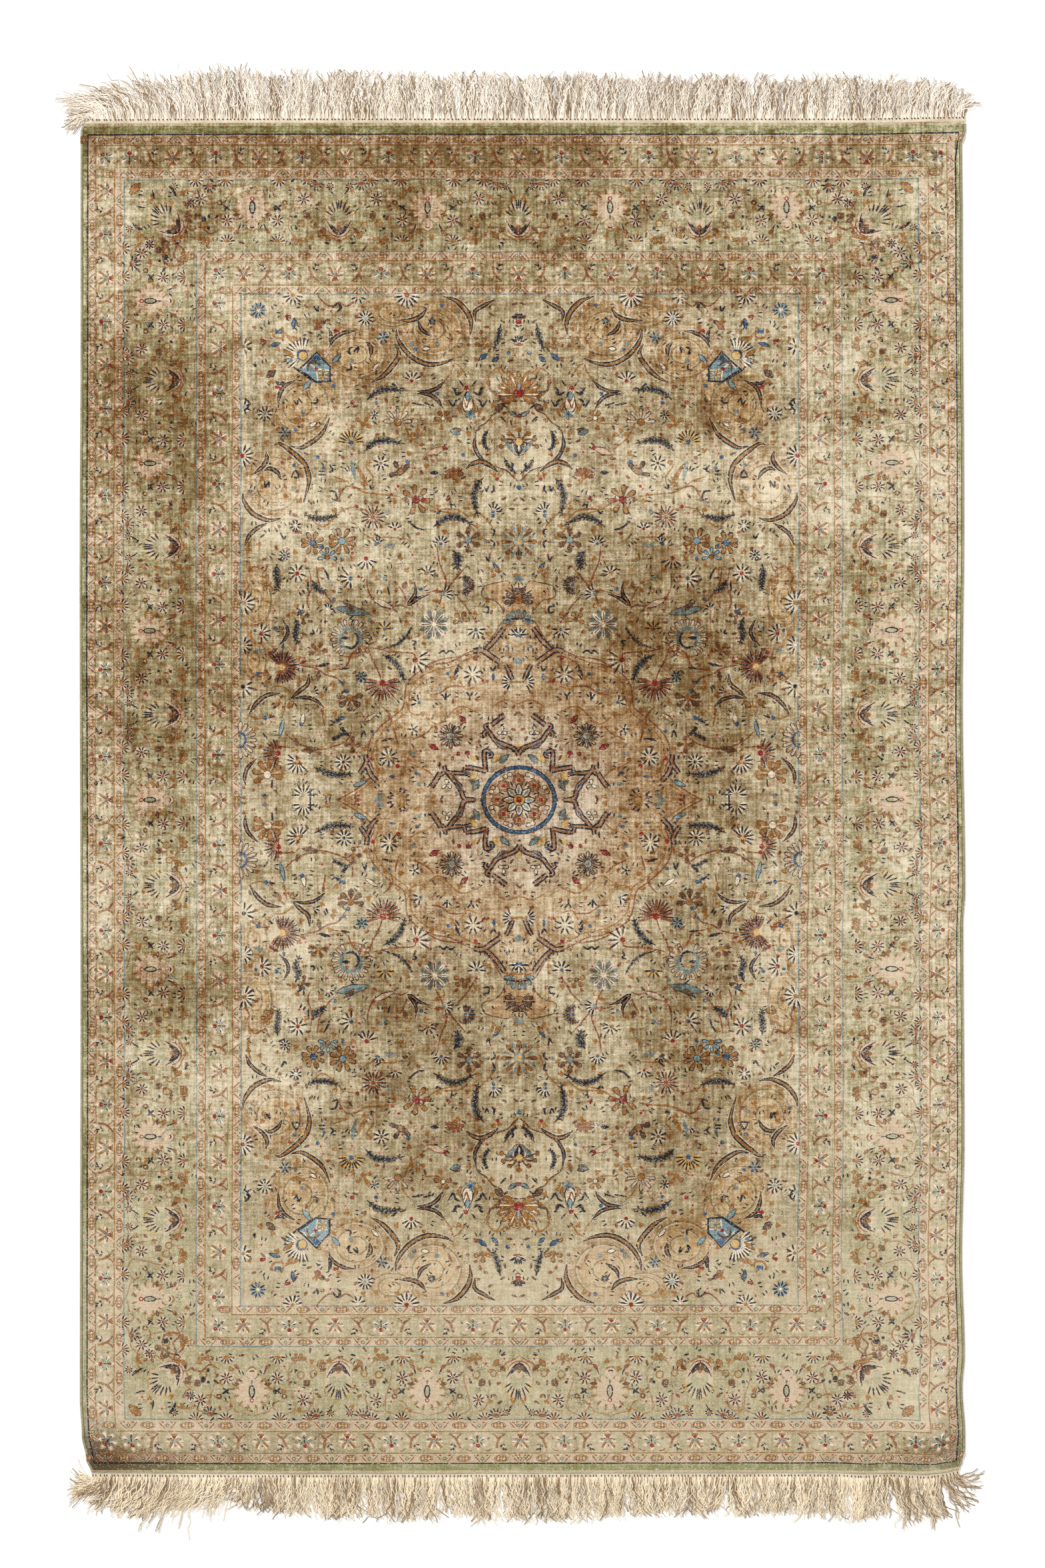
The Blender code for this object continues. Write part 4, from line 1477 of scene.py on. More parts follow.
# Tan ground of the corner scrolls: (x, y, half width, half height)
TAN_DISCS = (
    (650, 495, 56, 50),
    (535, 532, 55, 46),
    (453, 608, 52, 55),
    (412, 726, 50, 52),
    (385, 900, 30, 52),
    (384, 990, 22, 40),
    (590, 470, 40, 26),
    (480, 585, 30, 30),
)

# Corners of the medallion's outline, from its top round to its left tip
MEDALLION = (
    (778.5, 929),
    (757, 931),
    (744, 950),
    (729, 971),
    (712, 976),
    (698, 982),
    (677, 993),
    (651, 998),
    (626, 1010),
    (611, 1029),
    (606, 1061),
    (590, 1075),
    (570, 1092),
    (556, 1112),
    (553, 1135),
    (561, 1158),
    (545, 1176),
    (525, 1190),
    (506, 1200),
)

# Straps of the medallion: (width, points along the strap)
STRAPS = (
    (4.6, (778.5, 1132), (772, 1123), (760, 1118), (744, 1111), (737, 1101), (732, 1096)),
    (3.6, (732, 1096), (727, 1100), (729, 1106)),
    (3.6, (737, 1101), (729, 1090), (734, 1087)),
    (4.8, (738, 1088), (748, 1080), (758, 1073)),
    (4.6, (736, 1128), (728, 1127), (727.5, 1141), (729.5, 1157)),
    (4.6, (698, 1151), (714, 1153), (730, 1157)),
    (3.4, (698, 1151), (697, 1160), (703, 1161)),
    (3.4, (736, 1128), (739, 1133), (734, 1136)),
    (4.6, (712, 1200), (697, 1198), (693, 1189), (689, 1179), (680, 1169), (671, 1158), (663, 1156)),
    (3.8, (698, 1160), (684, 1160), (671, 1158)),
    (3.4, (667, 1148), (668, 1156), (662, 1163)),
    (5.4, (661, 1159), (654, 1171), (647, 1181)),
    (5.8, (711, 977), (725, 976), (738, 985), (750, 993)),
    (5.0, (730, 974), (744, 960), (757, 942)),
    (3.8, (759, 997), (765, 1008), (770, 1020)),
    (4.6, (549, 1132), (550, 1145), (540, 1160)),
    (4.8, (551, 1148), (557, 1162), (566, 1172)),
)

# Outlines of the corner's shield, and of its dark rim
SHIELD = ((476, 530), (484, 540), (494, 551), (494, 571), (475, 572), (461, 561), (450, 555), (462, 544))
SHIELD_RIM = ((476, 527), (486, 539), (497, 550), (497, 573), (474, 575), (459, 564), (446, 555), (460, 543))
# Left halves of the arch over the middle, and of the medallion's upper tip
ARCH = (
    (777, 602),
    (760, 604),
    (752, 616),
    (740, 622),
    (730, 634),
    (718, 642),
    (712, 656),
    (714, 676),
    (724, 690),
    (742, 700),
    (760, 706),
    (770, 716),
    (777, 722),
)
UPPER_TIP = (
    (777, 869),
    (770, 880),
    (762, 872),
    (748, 874),
    (727, 880),
    (724, 895),
    (742, 901),
    (752, 910),
    (757, 922),
)
ARCH_STALKS = (((770, 664), (753, 670)), ((768, 660), (756, 659)), ((771, 655), (765, 651)))
# Middles of the flowers that are drawn round one place
BLUE_DISC = (454, 534)
LEFT_SUN = (358, 1110)
SCALLOPED_SUN = (527, 958)
LOOPED_BLOSSOM = (652, 937)
STRAP_ROSE = (677, 1104)
INSECT_X = 702
# How a ray flower of a yarn is laid: (halo, petals' root, tip and width), as shares of its reach
RAY_LOOKS = {"cream": (0.95, 0.2, 0.98, 0.15), "rust": (0.9, 0.15, 1.0, 0.17)}
BARE_RAY_LOOK = (0.0, 0.2, 1.0, 0.4)


def at(place):
    """A place of the drawing sheet on the board."""
    return place[0] - SHEET_MIDDLE[0], SHEET_MIDDLE[1] - place[1]


def along(points):
    """Places of the drawing sheet on the board."""
    return tuple(at(place) for place in points)


def half_line(side, *points):
    """A line of the drawing sheet on the board, or its mirror image over the upright line."""
    return mirrored(side, *along(points))


def closed(left):
    """A left half and its mirror image as one outline."""
    return left + mirrored(-1, *reversed(left))


def shield_palmette(board):
    """The blue shield of the corner, with its rays and blossom."""
    board.stroke("navy", 2, along(((454, 534), (440, 548), (456, 562), (474, 572), (494, 571))), 2.0)
    board.shape("navy", 2, along(SHIELD_RIM))
    board.shape("sky", 3, along(SHIELD))
    board.shape("blue", 4, along(((476, 531), (483, 540), (470, 544), (464, 545))))
    for line in (((475, 554), (464, 546), (455, 553)), ((475, 554), (494, 556)), ((475, 554), (477, 571))):
        board.stroke("cream", 5, along(line), 1.8, 1.0, 1.0)
    board.stroke("brown", 6, along(((462, 558), (463, 547), (472, 543), (482, 550))), 3.0)
    board.patch("red", 7, *at((475, 554)), 3.2)
    board.petals("yellow", 6, *at((485, 563)), 1, 8.5, 5.0, 6, form=drop, line="brown", edge=0.7)
    board.patch("blue", 5, *at((454, 533)), 8.6, sides=12)
    board.patch("yellow", 6, *at((455, 534)), 6.4, sides=12)
    board.petals("navy", 4, *at(BLUE_DISC), 14, 29, 2.2, 12, 70, 150, sides=6)
    board.petals("cream", 3, *at(BLUE_DISC), 6, 25, 6.0, 12, 76, 150, form=drop, sides=6)
    for x, y in ((431, 475), (394, 511), (504, 497), (416, 581)):
        board.patch("red", 5, *at((x, y)), 3.4, 3.0, sides=6)
        board.patch("red", 5, *at((x + 4, y + 1)), 2.2, 2.6, sides=6)
    board.shape("blue", 4, along(((413, 501), (413, 493), (418, 497), (423, 492), (423, 501))))
    board.stroke("gold", 3, along(((408, 496), (412, 506), (424, 507), (427, 498))), 2.6)
    board.patch("rust", 4, *at((478, 491)), 5.0, 4.4)


def insect_palmette(board):
    """The upright palmette with jointed arms between the corner and the middle."""
    board.patch("navy", 3, *at((INSECT_X, 601)), 12.5, 19, sides=12, form=bud)
    board.patch("cream", 4, *at((INSECT_X, 601)), 10.5, 17, sides=12, form=bud)
    board.petal("sky", 6, at((INSECT_X, 602)), at((INSECT_X, 588)), 6, line="navy")
    board.stroke("rust", 5, along(((696, 600), (700, 612), (703, 604), (708, 596))), 1.8)
    board.patch("red", 6, *at((700, 582)), 3.4)
    board.petals("sky", 5, *at((706, 621)), 1, 8, 4.4, 6, form=drop, line="navy", edge=0.7)
    board.dots("blue", 7, 2.4, at((706, 621)))
    for side in (1, -1):
        for width, *shifts in (
            (2.8, (8, 588), (16, 592), (20, 584), (24, 582)),
            (2.4, (11, 598), (18, 602), (22, 610), (29, 600)),
        ):
            board.stroke("navy", 4, along((INSECT_X + side * x, y) for x, y in shifts), width)
        claw = along((INSECT_X + side * x, y) for x, y in ((9, 604), (13, 614), (8, 620)))
        board.stroke("navy", 4, claw, 5.0)
        board.stroke("gold", 5, claw, 3.0)
        feeler = along((INSECT_X + side * x, y) for x, y in ((6, 580), (13, 571)))
        board.stroke("navy", 4, feeler, 2.0)


def side_palmettes(board):
    """Half flowers that grow from the field's left edge, and the scalloped suns beside them."""
    board.ring("blue", 5, *at(LEFT_SUN), 12, 3.0, -90, 180)
    board.petals("pink", 4, *at(LEFT_SUN), 10, 28, 7, 9, -80, 160, form=drop, line="navy")
    board.ring("teal", 5, *at(SCALLOPED_SUN), 15, 4.4, -40, 300)
    board.petals("pink", 3, *at(SCALLOPED_SUN), 17, 29, 6.4, 17, -60, 300, form=drop, line="navy")
    board.petals("sky", 4, *at(SCALLOPED_SUN), 14, 21, 3.4, 12, -60, 300, form=drop)
    board.petal("navy", 5, at((512, 957)), at((526, 957)), 4.0)
    board.stroke("navy", 6, along(((519, 970), (530, 972), (538, 962), (536, 950))), 2.6)
    board.petals("rust", 3, *at((546, 975)), 2, 10, 4.0, 6, form=drop)
    board.petals("slate", 3, *at(LOOPED_BLOSSOM), 4, 24, 9.0, 8, 22, 360, form=drop, sides=6)
    board.petals("cream", 4, *at(LOOPED_BLOSSOM), 2, 23, 7.4, 8, 0, 360, form=drop, sides=6)
    board.petals("brown", 5, *at(LOOPED_BLOSSOM), 5, 20, 1.8, 8, 0, 360, sides=6)
    board.patch("cream", 6, *at(LOOPED_BLOSSOM), 3.6, 3.6)


def arch_palmette(board):
    """The lobed arch over the middle, with its tear-drop and stalks; the left half and its mirror image."""
    left = along(ARCH)
    board.shape("halo", 1, closed(left))
    for side in (1, -1):
        board.stroke("brown", 2, mirrored(side, *left), 1.7, 1.0, 1.0)
        for stalk in ARCH_STALKS:
            board.stroke("brown", 4, half_line(side, (777, 668), *stalk), 2.2)
        board.petal("teal", 4, *mirrored(side, (-3, 518), (-22, 540)), 6.0, line="navy", edge=0.8)
        board.petal("blue", 5, *mirrored(side, (-1, 575), (-11, 580)), 5.0, line="navy", edge=0.8)
        board.stroke("gold", 2, half_line(side, (733, 562), (745, 553), (754, 566)), 1.8)
        hook = half_line(side, (735, 572), (736, 586), (748, 590), (750, 600), (742, 602))
        board.stroke("brown", 3, hook, 2.6)
    for x, y in ((752, 670), (755, 659), (764, 651)):
        for side in (1, -1):
            place_x, place_y = at((x, y))
            board.patch("navy", 4, side * place_x, place_y, 3.8)
            board.patch("gold", 5, side * place_x, place_y, 2.5)
    board.stroke("navy", 4, along(((778.5, 664), (778.5, 656), (778.5, 648))), 1.6)
    board.patch("navy", 4, 0, 555, 3.8)
    board.patch("gold", 5, 0, 555, 2.5)
    board.patch("rust", 3, 0, 530, 13, 15, sides=12)
    board.patch("pink", 4, 0, 530, 11, 13, sides=12)
    board.petal("navy", 5, (0, 541), (0, 516), 19, form=bud)
    board.petal("yellow", 6, (0, 542), (0, 531), 12, form=leaf)
    board.petal("cream", 7, (0, 532), (0, 522), 3.4)
    board.dots("blue", 5, 3.4, (0, 468))


def axis_flowers(board):
    """What stands on the rug's upright middle line above the medallion."""
    board.petals("gold", 3, 0, 608, 6, 34, 8, 9, 0, 180, form=drop, line="brown")
    board.petals("cream", 4, 0, 608, 8, 30, 4.0, 9, 0, 180, form=drop, sides=6)
    board.petal("sky", 6, (0, 612), (0, 630), 4.4, line="navy")
    board.dots("red", 6, 1.8, (0, 610), (0, 578))
    board.petal("gold", 5, (0, 600), (0, 611), 7, form=drop)
    board.petals("teal", 3, 0, 387, 14, 25, 8, 8, 22, 360, form=drop, sides=6)
    board.petals("gold", 4, 0, 387, 8, 26, 6, 8, 0, 360, form=drop, line="brown")
    board.petals("navy", 5, 0, 387, 10, 22, 1.8, 8, 0, 360, sides=6)
    board.patch("sky", 5, 0, 387, 7.6, sides=12)
    board.patch("yellow", 6, 0, 387, 5.0, sides=10)
    board.patch("teal", 3, 0, 331, 8, 8, sides=4)
    board.petals("halo", 3, 0, 303, 6, 26, 9, 7, 0, 180, form=drop, sides=6)
    board.petals("brown", 4, 0, 303, 8, 24, 3.4, 7, 0, 180, form=drop, line="navy", edge=0.6)
    board.patch("sky", 4, 0, 303, 8, 8, sides=12)
    board.patch("navy", 5, 0, 303, 6.2, 7.4, sides=10)
    board.patch("gold", 6, 0, 303, 4.6, 5.8, sides=10)
    left = along(UPPER_TIP)
    board.shape("tan", 1, closed(left))
    for side in (1, -1):
        board.stroke("brown", 2, mirrored(side, *left), 1.2, 1.0, 1.0)
    board.petals("teal", 3, 0, 262, 8, 23, 9, 7, 14, 152, form=drop, line="navy", edge=0.8)
    board.petals("rust", 4, 0, 264, 6, 14, 3, 5, 40, 100, form=drop)
    board.stroke("navy", 4, ((-22, 269), (0, 272), (22, 269)), 2.0, 1.0, 1.0)
    board.patch("gold", 4, 0, 177, 15, 1.8, sides=6)
    board.patch("teal", 3, 0, 208, 6, 6, sides=4)


def weave_middle(board):
    """The round middle of the medallion."""
    board.patch("navy", 3, 0, 0, 56.4, 52.0, sides=40)
    board.patch("blue", 4, 0, 0, 55.2, 50.8, sides=40)
    board.patch("navy", 5, 0, 0, 50.8, 46.4, sides=40)
    board.patch("pink", 6, 0, 0, 49.8, 45.4, sides=40)
    for index in range(8):
        turn = index * 45
        angle = math.radians(turn)
        x, y = 32.5 * math.cos(angle), 30 * math.sin(angle)
        board.petals("brown", 7, x, y, 1, 10.6, 8.0, 7, turn, 360, form=drop, sides=6)
        board.petals("clay", 8, x, y, 1, 9.4, 6.0, 7, turn, 360, form=drop, sides=6)
        board.patch("tan", 8, x, y, 5.6)
        board.patch("red", 9, x, y, 4.0, 4.0, 45, sides=4)
        angle = math.radians(turn + 22.5)
        x, y = 43.5 * math.cos(angle), 39.5 * math.sin(angle)
        for shift in (-3.4, 3.4):
            spot = x - shift * math.sin(angle), y + shift * math.cos(angle)
            board.patch("navy", 7, *spot, 4.6, 4.0)
            board.patch("cream", 8, *spot, 3.4, 2.8)
        board.petal("navy", 7, (x * 0.52, y * 0.52), (x * 0.78, y * 0.78), 2.4, sides=6)
    board.petals("cream", 10, 0, 0, 6, 23, 9.0, 8, 0, 360, line="navy", edge=1.6)
    board.petals("sky", 11, 0, 0, 9, 21, 4.0, 8, 0, 360)
    board.patch("navy", 12, 0, 0, 9.2, sides=14)
    board.patch("yellow", 13, 0, 0, 8.0, sides=14)
    board.patch("red", 14, 0, 0, 4.4, sides=10)


def scatter_sprigs(board, wide, tall, keep_out, pitch, chance):
    """Small ticks, leaves and buds over a rectangle of one quarter, away from its inner part."""
    inner_wide, inner_tall = keep_out
    for row in range(int(tall / pitch)):
        for column in range(int(wide / pitch)):
            x = -(column + chance.uniform(0.1, 0.9)) * pitch
            y = (row + chance.uniform(0.1, 0.9)) * pitch
            kind = chance.random()
            turn = chance.uniform(0.0, math.tau)
            if -x < inner_wide and y < inner_tall:
                continue
            away = Vector((math.cos(turn), math.sin(turn)))
            side = Vector((-away.y, away.x))
            spot = Vector((x, y))
            if kind < 0.30:
                for shift in (-2.4, 2.4):
                    root = spot + side * shift
                    tip = root + away * 3.4 + side * shift * 0.5
                    board.petal("navy", 1, root - away * 3.4, tip, 1.9, sides=6)
            elif kind < 0.44:
                board.petal("rust", 1, spot - away * 4, spot + away * 4, 4.4, sides=6)
            elif kind < 0.60:
                board.petal("gold", 1, spot - away * 5, spot + away * 5, 5.0, sides=6)
                board.petal("gold", 1, spot - away * 2, spot + away * 2 + side * 6, 3.4, sides=6)
            elif kind < 0.70:
                board.petal("brown", 1, spot - away * 5, spot + away * 5, 3.6, sides=6)
            elif kind < 0.78:
                board.petals("slate", 1, x, y, 1, 5.0, 1.8, 5, form=drop, sides=6)
            elif kind < 0.88:
                board.petals("pink", 1, x, y, 0, 8, 5.6, 6, form=drop, sides=6)
                board.dots("rust", 2, 1.8, (x, y))


def weave_field(quarter, upright, level, middle):
    """Fill the field: corner scrolls, ray flowers, leaves, vines and the medallion."""
    chance = random.Random(4)
    scatter_sprigs(quarter, 412.0, 754.0, (0.0, 0.0), 17.0, chance)
    scatter_sprigs(quarter, 588.0, 926.0, (486.0, 826.0), 17.0, chance)
    for thick, *points in SCROLLS:
        quarter.stroke("halo", 3, along(points), thick + 6.0, 0.5, 0.5, swell=0.3)
        quarter.stroke("navy", 4, along(points), thick + 2.6, 0.4, 0.4, swell=0.4)
        quarter.stroke("gold", 5, along(points), thick - 3.0, 0.1, 0.1, swell=0.6)
    for thick, *points in FEATHERS:
        line = along(points)
        quarter.stroke("moss", 2, line, thick * 1.5, 0.2, 0.2, swell=0.7)
        quarter.stroke("slate", 4, line, thick * 0.85, 0.15, 0.15, swell=0.8)
        ribs = smooth_line(line, 3)
        quarter.stroke("navy", 5, line, thick * 0.34, 0.3, 0.2)
        for place, ahead in zip(ribs[1:], ribs[2:]):
            way = (ahead - place).normalized()
            for side in (1, -1):
                out = Vector((-way.y, way.x, 0.0)) * side * thick * 0.60 + way * thick * 0.50
                quarter.petal("navy", 6, place[:2], (place + out)[:2], 1.9, sides=6)
    for x, y, facing, span, count, reach, petal_yarn, eye in RAYS:
        first = facing - span / 2 if span < 360 else facing
        x, y = at((x, y))
        halo, root, tip, wide = (reach * part for part in RAY_LOOKS.get(petal_yarn, BARE_RAY_LOOK))
        if halo:
            quarter.patch("halo", 1, x, y, halo, sides=12)
        look = {"form": leaf if halo else drop, "sides": 6}
        quarter.petals(petal_yarn, 3, x, y, root, tip, wide, count, first, span, **look)
        shift = span / count / 2
        rays = count if span == 360 else count - 1
        narrowed = span if span == 360 else span - shift * 2
        root, tip = reach * 0.3, reach * 1.08
        quarter.petals("navy", 4, x, y, root, tip, 2.4, rays, first + shift, narrowed, sides=6)
        quarter.dots(eye, 6, max(2.2, reach * 0.2), (x, y))
    for x, y, facing, span, count, reach, width, petal_yarn, line, eye in BLOOMS:
        first = facing - span / 2 if span < 360 else facing
        x, y = at((x, y))
        look = {"form": drop, "line": line}
        quarter.petals(petal_yarn, 5, x, y, reach * 0.25, reach, width, count, first, span, **look)
        quarter.patch(line, 6, x, y, reach * 0.24 + 0.9)
        quarter.patch(eye, 7, x, y, reach * 0.24)
    for yarn, line, width, *ends in LEAVES:
        line = None if line == yarn else line
        quarter.petal(yarn, 6, at(ends[:2]), at(ends[2:]), width, line=line, edge=0.9)
    for yarn, size, *places in DOTS:
        quarter.dots(yarn, 8, size, *along(places))
    for points in TICKS:
        quarter.stroke("navy", 7, along(points), 2.1, 0.6, 0.6, steps=3)
    for yarn, *points in VINES:
        quarter.stroke(yarn, 2, along(points), 1.9, 0.5, 0.5)
    shield_palmette(quarter)
    insect_palmette(quarter)
    side_palmettes(quarter)
    axis_flowers(upright)
    arch_palmette(upright)

    for *place, wide, tall in TAN_DISCS:
        x, y = at(place)
        for share, first, span in ((0.78, 200, 250), (0.54, 20, 260), (0.3, 240, 230)):
            reach = wide * share
            quarter.ring("moss", 1, x, y, reach, 1.8, first, span, squash=tall / wide)
            quarter.ring("halo", 1, x, y, reach - 3, 1.6, first + 15, span - 20, squash=tall / wide)

    # The medallion's double line and its straps
    edge = along(MEDALLION)
    quarter.stroke("rust", 2, edge, 1.6, 1.0, 1.0)
    quarter.stroke("gold", 2, tuple((x * 0.965, y * 0.965) for x, y in edge), 1.3, 1.0, 1.0)
    for width, *points in STRAPS:
        quarter.stroke("navy", 4, along(points), width + 3.6, 0.9, 0.9)
        quarter.stroke("clay", 5, along(points), width - 1.4, 0.8, 0.8)
    for root, tip in (((760, 1123), (743, 1112)), ((694, 1188), (684, 1171))):
        quarter.petal("clay", 6, at(root), at(tip), 8.0, line="navy", edge=1.2)
        quarter.petal("blue", 7, at(root), at(tip), 3.4)
    for place in ((737, 1128), (699, 1159)):
        quarter.patch("blue", 7, *at(place), 2.6)
    for place in ((754.5, 1097), (670.5, 1177.5)):
        quarter.petals("cream", 5, *at(place), 0.5, 7.4, 6.4, 3, 90, 360, form=drop, line="navy", edge=1.1)
    for place in ((702, 1130), (652, 1120), (695, 1078)):
        quarter.petals("pink", 4, *at(place), 1, 8, 5.0, 5, 90, 360, form=drop)
        quarter.patch("navy", 5, *at(place), 4.2, 3.8)
        quarter.patch("red", 6, *at(place), 3.4, 3.0)
    for place, turn in (((751, 1138), 30), ((712.5, 1175), 60)):
        quarter.patch("moss", 5, *at(place), 4.6, 9.4, turn)
        quarter.patch("slate", 6, *at(place), 2.6, 8.0, turn)
    for place in ((741.5, 1141), (711.5, 1163), (711.5, 1138), (778.5, 1118)):
        quarter.patch("yellow", 5, *at(place), 3.8)
    for place in ((720, 1112), (745, 1066), (640, 1150), (668, 1140), (716, 1124), (700, 1104), (654, 1096)):
        quarter.dots("clay", 4, 2.4, at(place))
    for step in range(5):
        angle = math.radians(90 + step * 22.5)
        quarter.dots("brown", 4, 1.9, (66 * math.cos(angle), 61 * math.sin(angle)))
    quarter.petals("brown", 5, *at(STRAP_ROSE), 4, 20, 8.0, 8, 0, 360, form=drop)
    quarter.petals("navy", 5, *at(STRAP_ROSE), 4, 18, 3.6, 8, 22.5, 360, form=drop)
    quarter.petals("halo", 6, *at(STRAP_ROSE), 9, 17.4, 3.4, 8, 0, 360, form=drop)
    quarter.patch("navy", 7, *at(STRAP_ROSE), 6.2, sides=12)
    quarter.patch("sky", 8, *at(STRAP_ROSE), 5.2, sides=12)
    quarter.patch("gold", 9, *at(STRAP_ROSE), 3.2, sides=10)
    for facing, span, count, reach in ((0, 150, 7, 20), (180, 90, 4, 18)):
        first = facing - span / 2
        level.petals("navy", 4, *at((597, 1200)), 8, reach, 3.0, count, first, span, sides=6)
    level.ring("gold", 5, *at((597, 1200)), 11, 3.6, -90, 180)
    level.patch("teal", 3, *at((566, 1200)), 6, 5, sides=4)
    level.dots("red", 5, 3.0, at((538, 1200)))
    weave_middle(middle)


# Pieces

CORD_WRAPS = 1400
STRIP_CELLS = 220
STRIP_HOLES = 236


def new_piece(name, mesh, material):
    piece = bpy.data.objects.new(name, mesh)
    bpy.context.collection.objects.link(piece)
    mesh.materials.append(material)
    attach(piece, "root")
    return piece


def coordinates(mesh):
    places = np.empty(len(mesh.vertices) * 3)
    mesh.vertices.foreach_get("co", places)
    return places.reshape(-1, 3)


def set_coordinates(mesh, places):
    mesh.vertices.foreach_set("co", places.ravel())
    mesh.update()


def carry(mesh, name, values):
    """Give a mesh one number at each of its points."""
    mesh.attributes.new(name, "FLOAT", "POINT").data.foreach_set("value", values)


def bake_map(mesh, u, v):
    """A map of the piece for baking, from shares at its points."""
    corners = np.empty(len(mesh.loops), dtype=np.int32)
    mesh.loops.foreach_get("vertex_index", corners)
    layer = mesh.uv_layers.new(name="OFBake")
    layer.data.foreach_set("uv", np.stack((u[corners], v[corners]), axis=1).ravel())


def facing_up(mesh):
    turned = [face for face in mesh.faces if face.normal.z < 0.0]
    bmesh.ops.reverse_faces(mesh, faces=turned)


def cut_lines(column):
    """Where the ground is cut across or along: at its bands' edges and every few millimetres between."""
    edges = sorted(side * band[column] for band in BANDS for side in (1, -1))
    fill = np.arange(edges[0] + GROUND_CELL, edges[-1], GROUND_CELL)
    apart = np.abs(fill[:, None] - np.array(edges)[None, :]).min(axis=1) > GROUND_CELL * 0.3
    return sorted(edges + list(fill[apart]))


def blended(low, high, values):
    """Shares from 0 to 1 between two limits, eased."""
    return gently(np.clip((values - low) / (high - low), 0.0, 1.0))


def dyed(x, y):
    """Tint and its share on the field's ground: the scrolls' tan rounds and the medallion."""
    x, y = -np.abs(x), np.abs(y)
    tint = np.tile(np.array(srgb(*ROUND_RIM)), (len(x), 1))
    cover = np.zeros(len(x))
    for place_x, place_y, wide, tall in TAN_DISCS:
        middle_x, middle_y = at((place_x, place_y))
        far = np.hypot((x - middle_x) / wide, (y - middle_y) / tall)
        share = 1.0 - blended(0.86, 1.12, far)
        inner = (1.0 - blended(0.35, 0.85, far))[:, None]
        tint += (np.array(srgb(*ROUND_MIDDLE)) - tint) * inner * 0.8
        cover = np.maximum(cover, share)
    edge = np.array(along(MEDALLION))
    depth = np.full(len(x), 1e9)
    within = np.zeros(len(x), dtype=bool)
    outline = np.vstack((edge, edge[::-1] * (1, -1), edge[1:] * -1, edge[::-1][1:-1] * (-1, 1)))
    for start, end in zip(outline, np.roll(outline, -1, axis=0)):
        way = end - start
        part = np.clip(((x - start[0]) * way[0] + (y - start[1]) * way[1]) / max(way @ way, 1e-9), 0.0, 1.0)
        depth = np.minimum(depth, np.hypot(x - start[0] - way[0] * part, y - start[1] - way[1] * part))
        crosses = (start[1] > y) != (end[1] > y)
        rise = way[1] if abs(way[1]) > 1e-9 else 1e-9
        within ^= crosses & (x < start[0] + way[0] * (y - start[1]) / rise)
    inside = blended(-5.0, 5.0, np.where(within, depth, -depth))
    far = np.hypot(x, y)
    core = (1.0 - blended(75.0, 175.0, far))[:, None]
    rim = (1.0 - blended(4.0, 60.0, depth))[:, None]
    body = np.array(srgb(*MEDALLION_BODY))
    disc = body + (np.array(srgb(*MEDALLION_MIDDLE)) - body) * core
    disc = disc + (np.array(srgb(*ROUND_RIM)) - disc) * rim * 0.4
    tint = tint + (disc - tint) * inside[:, None]
    return tint, np.maximum(cover, inside)


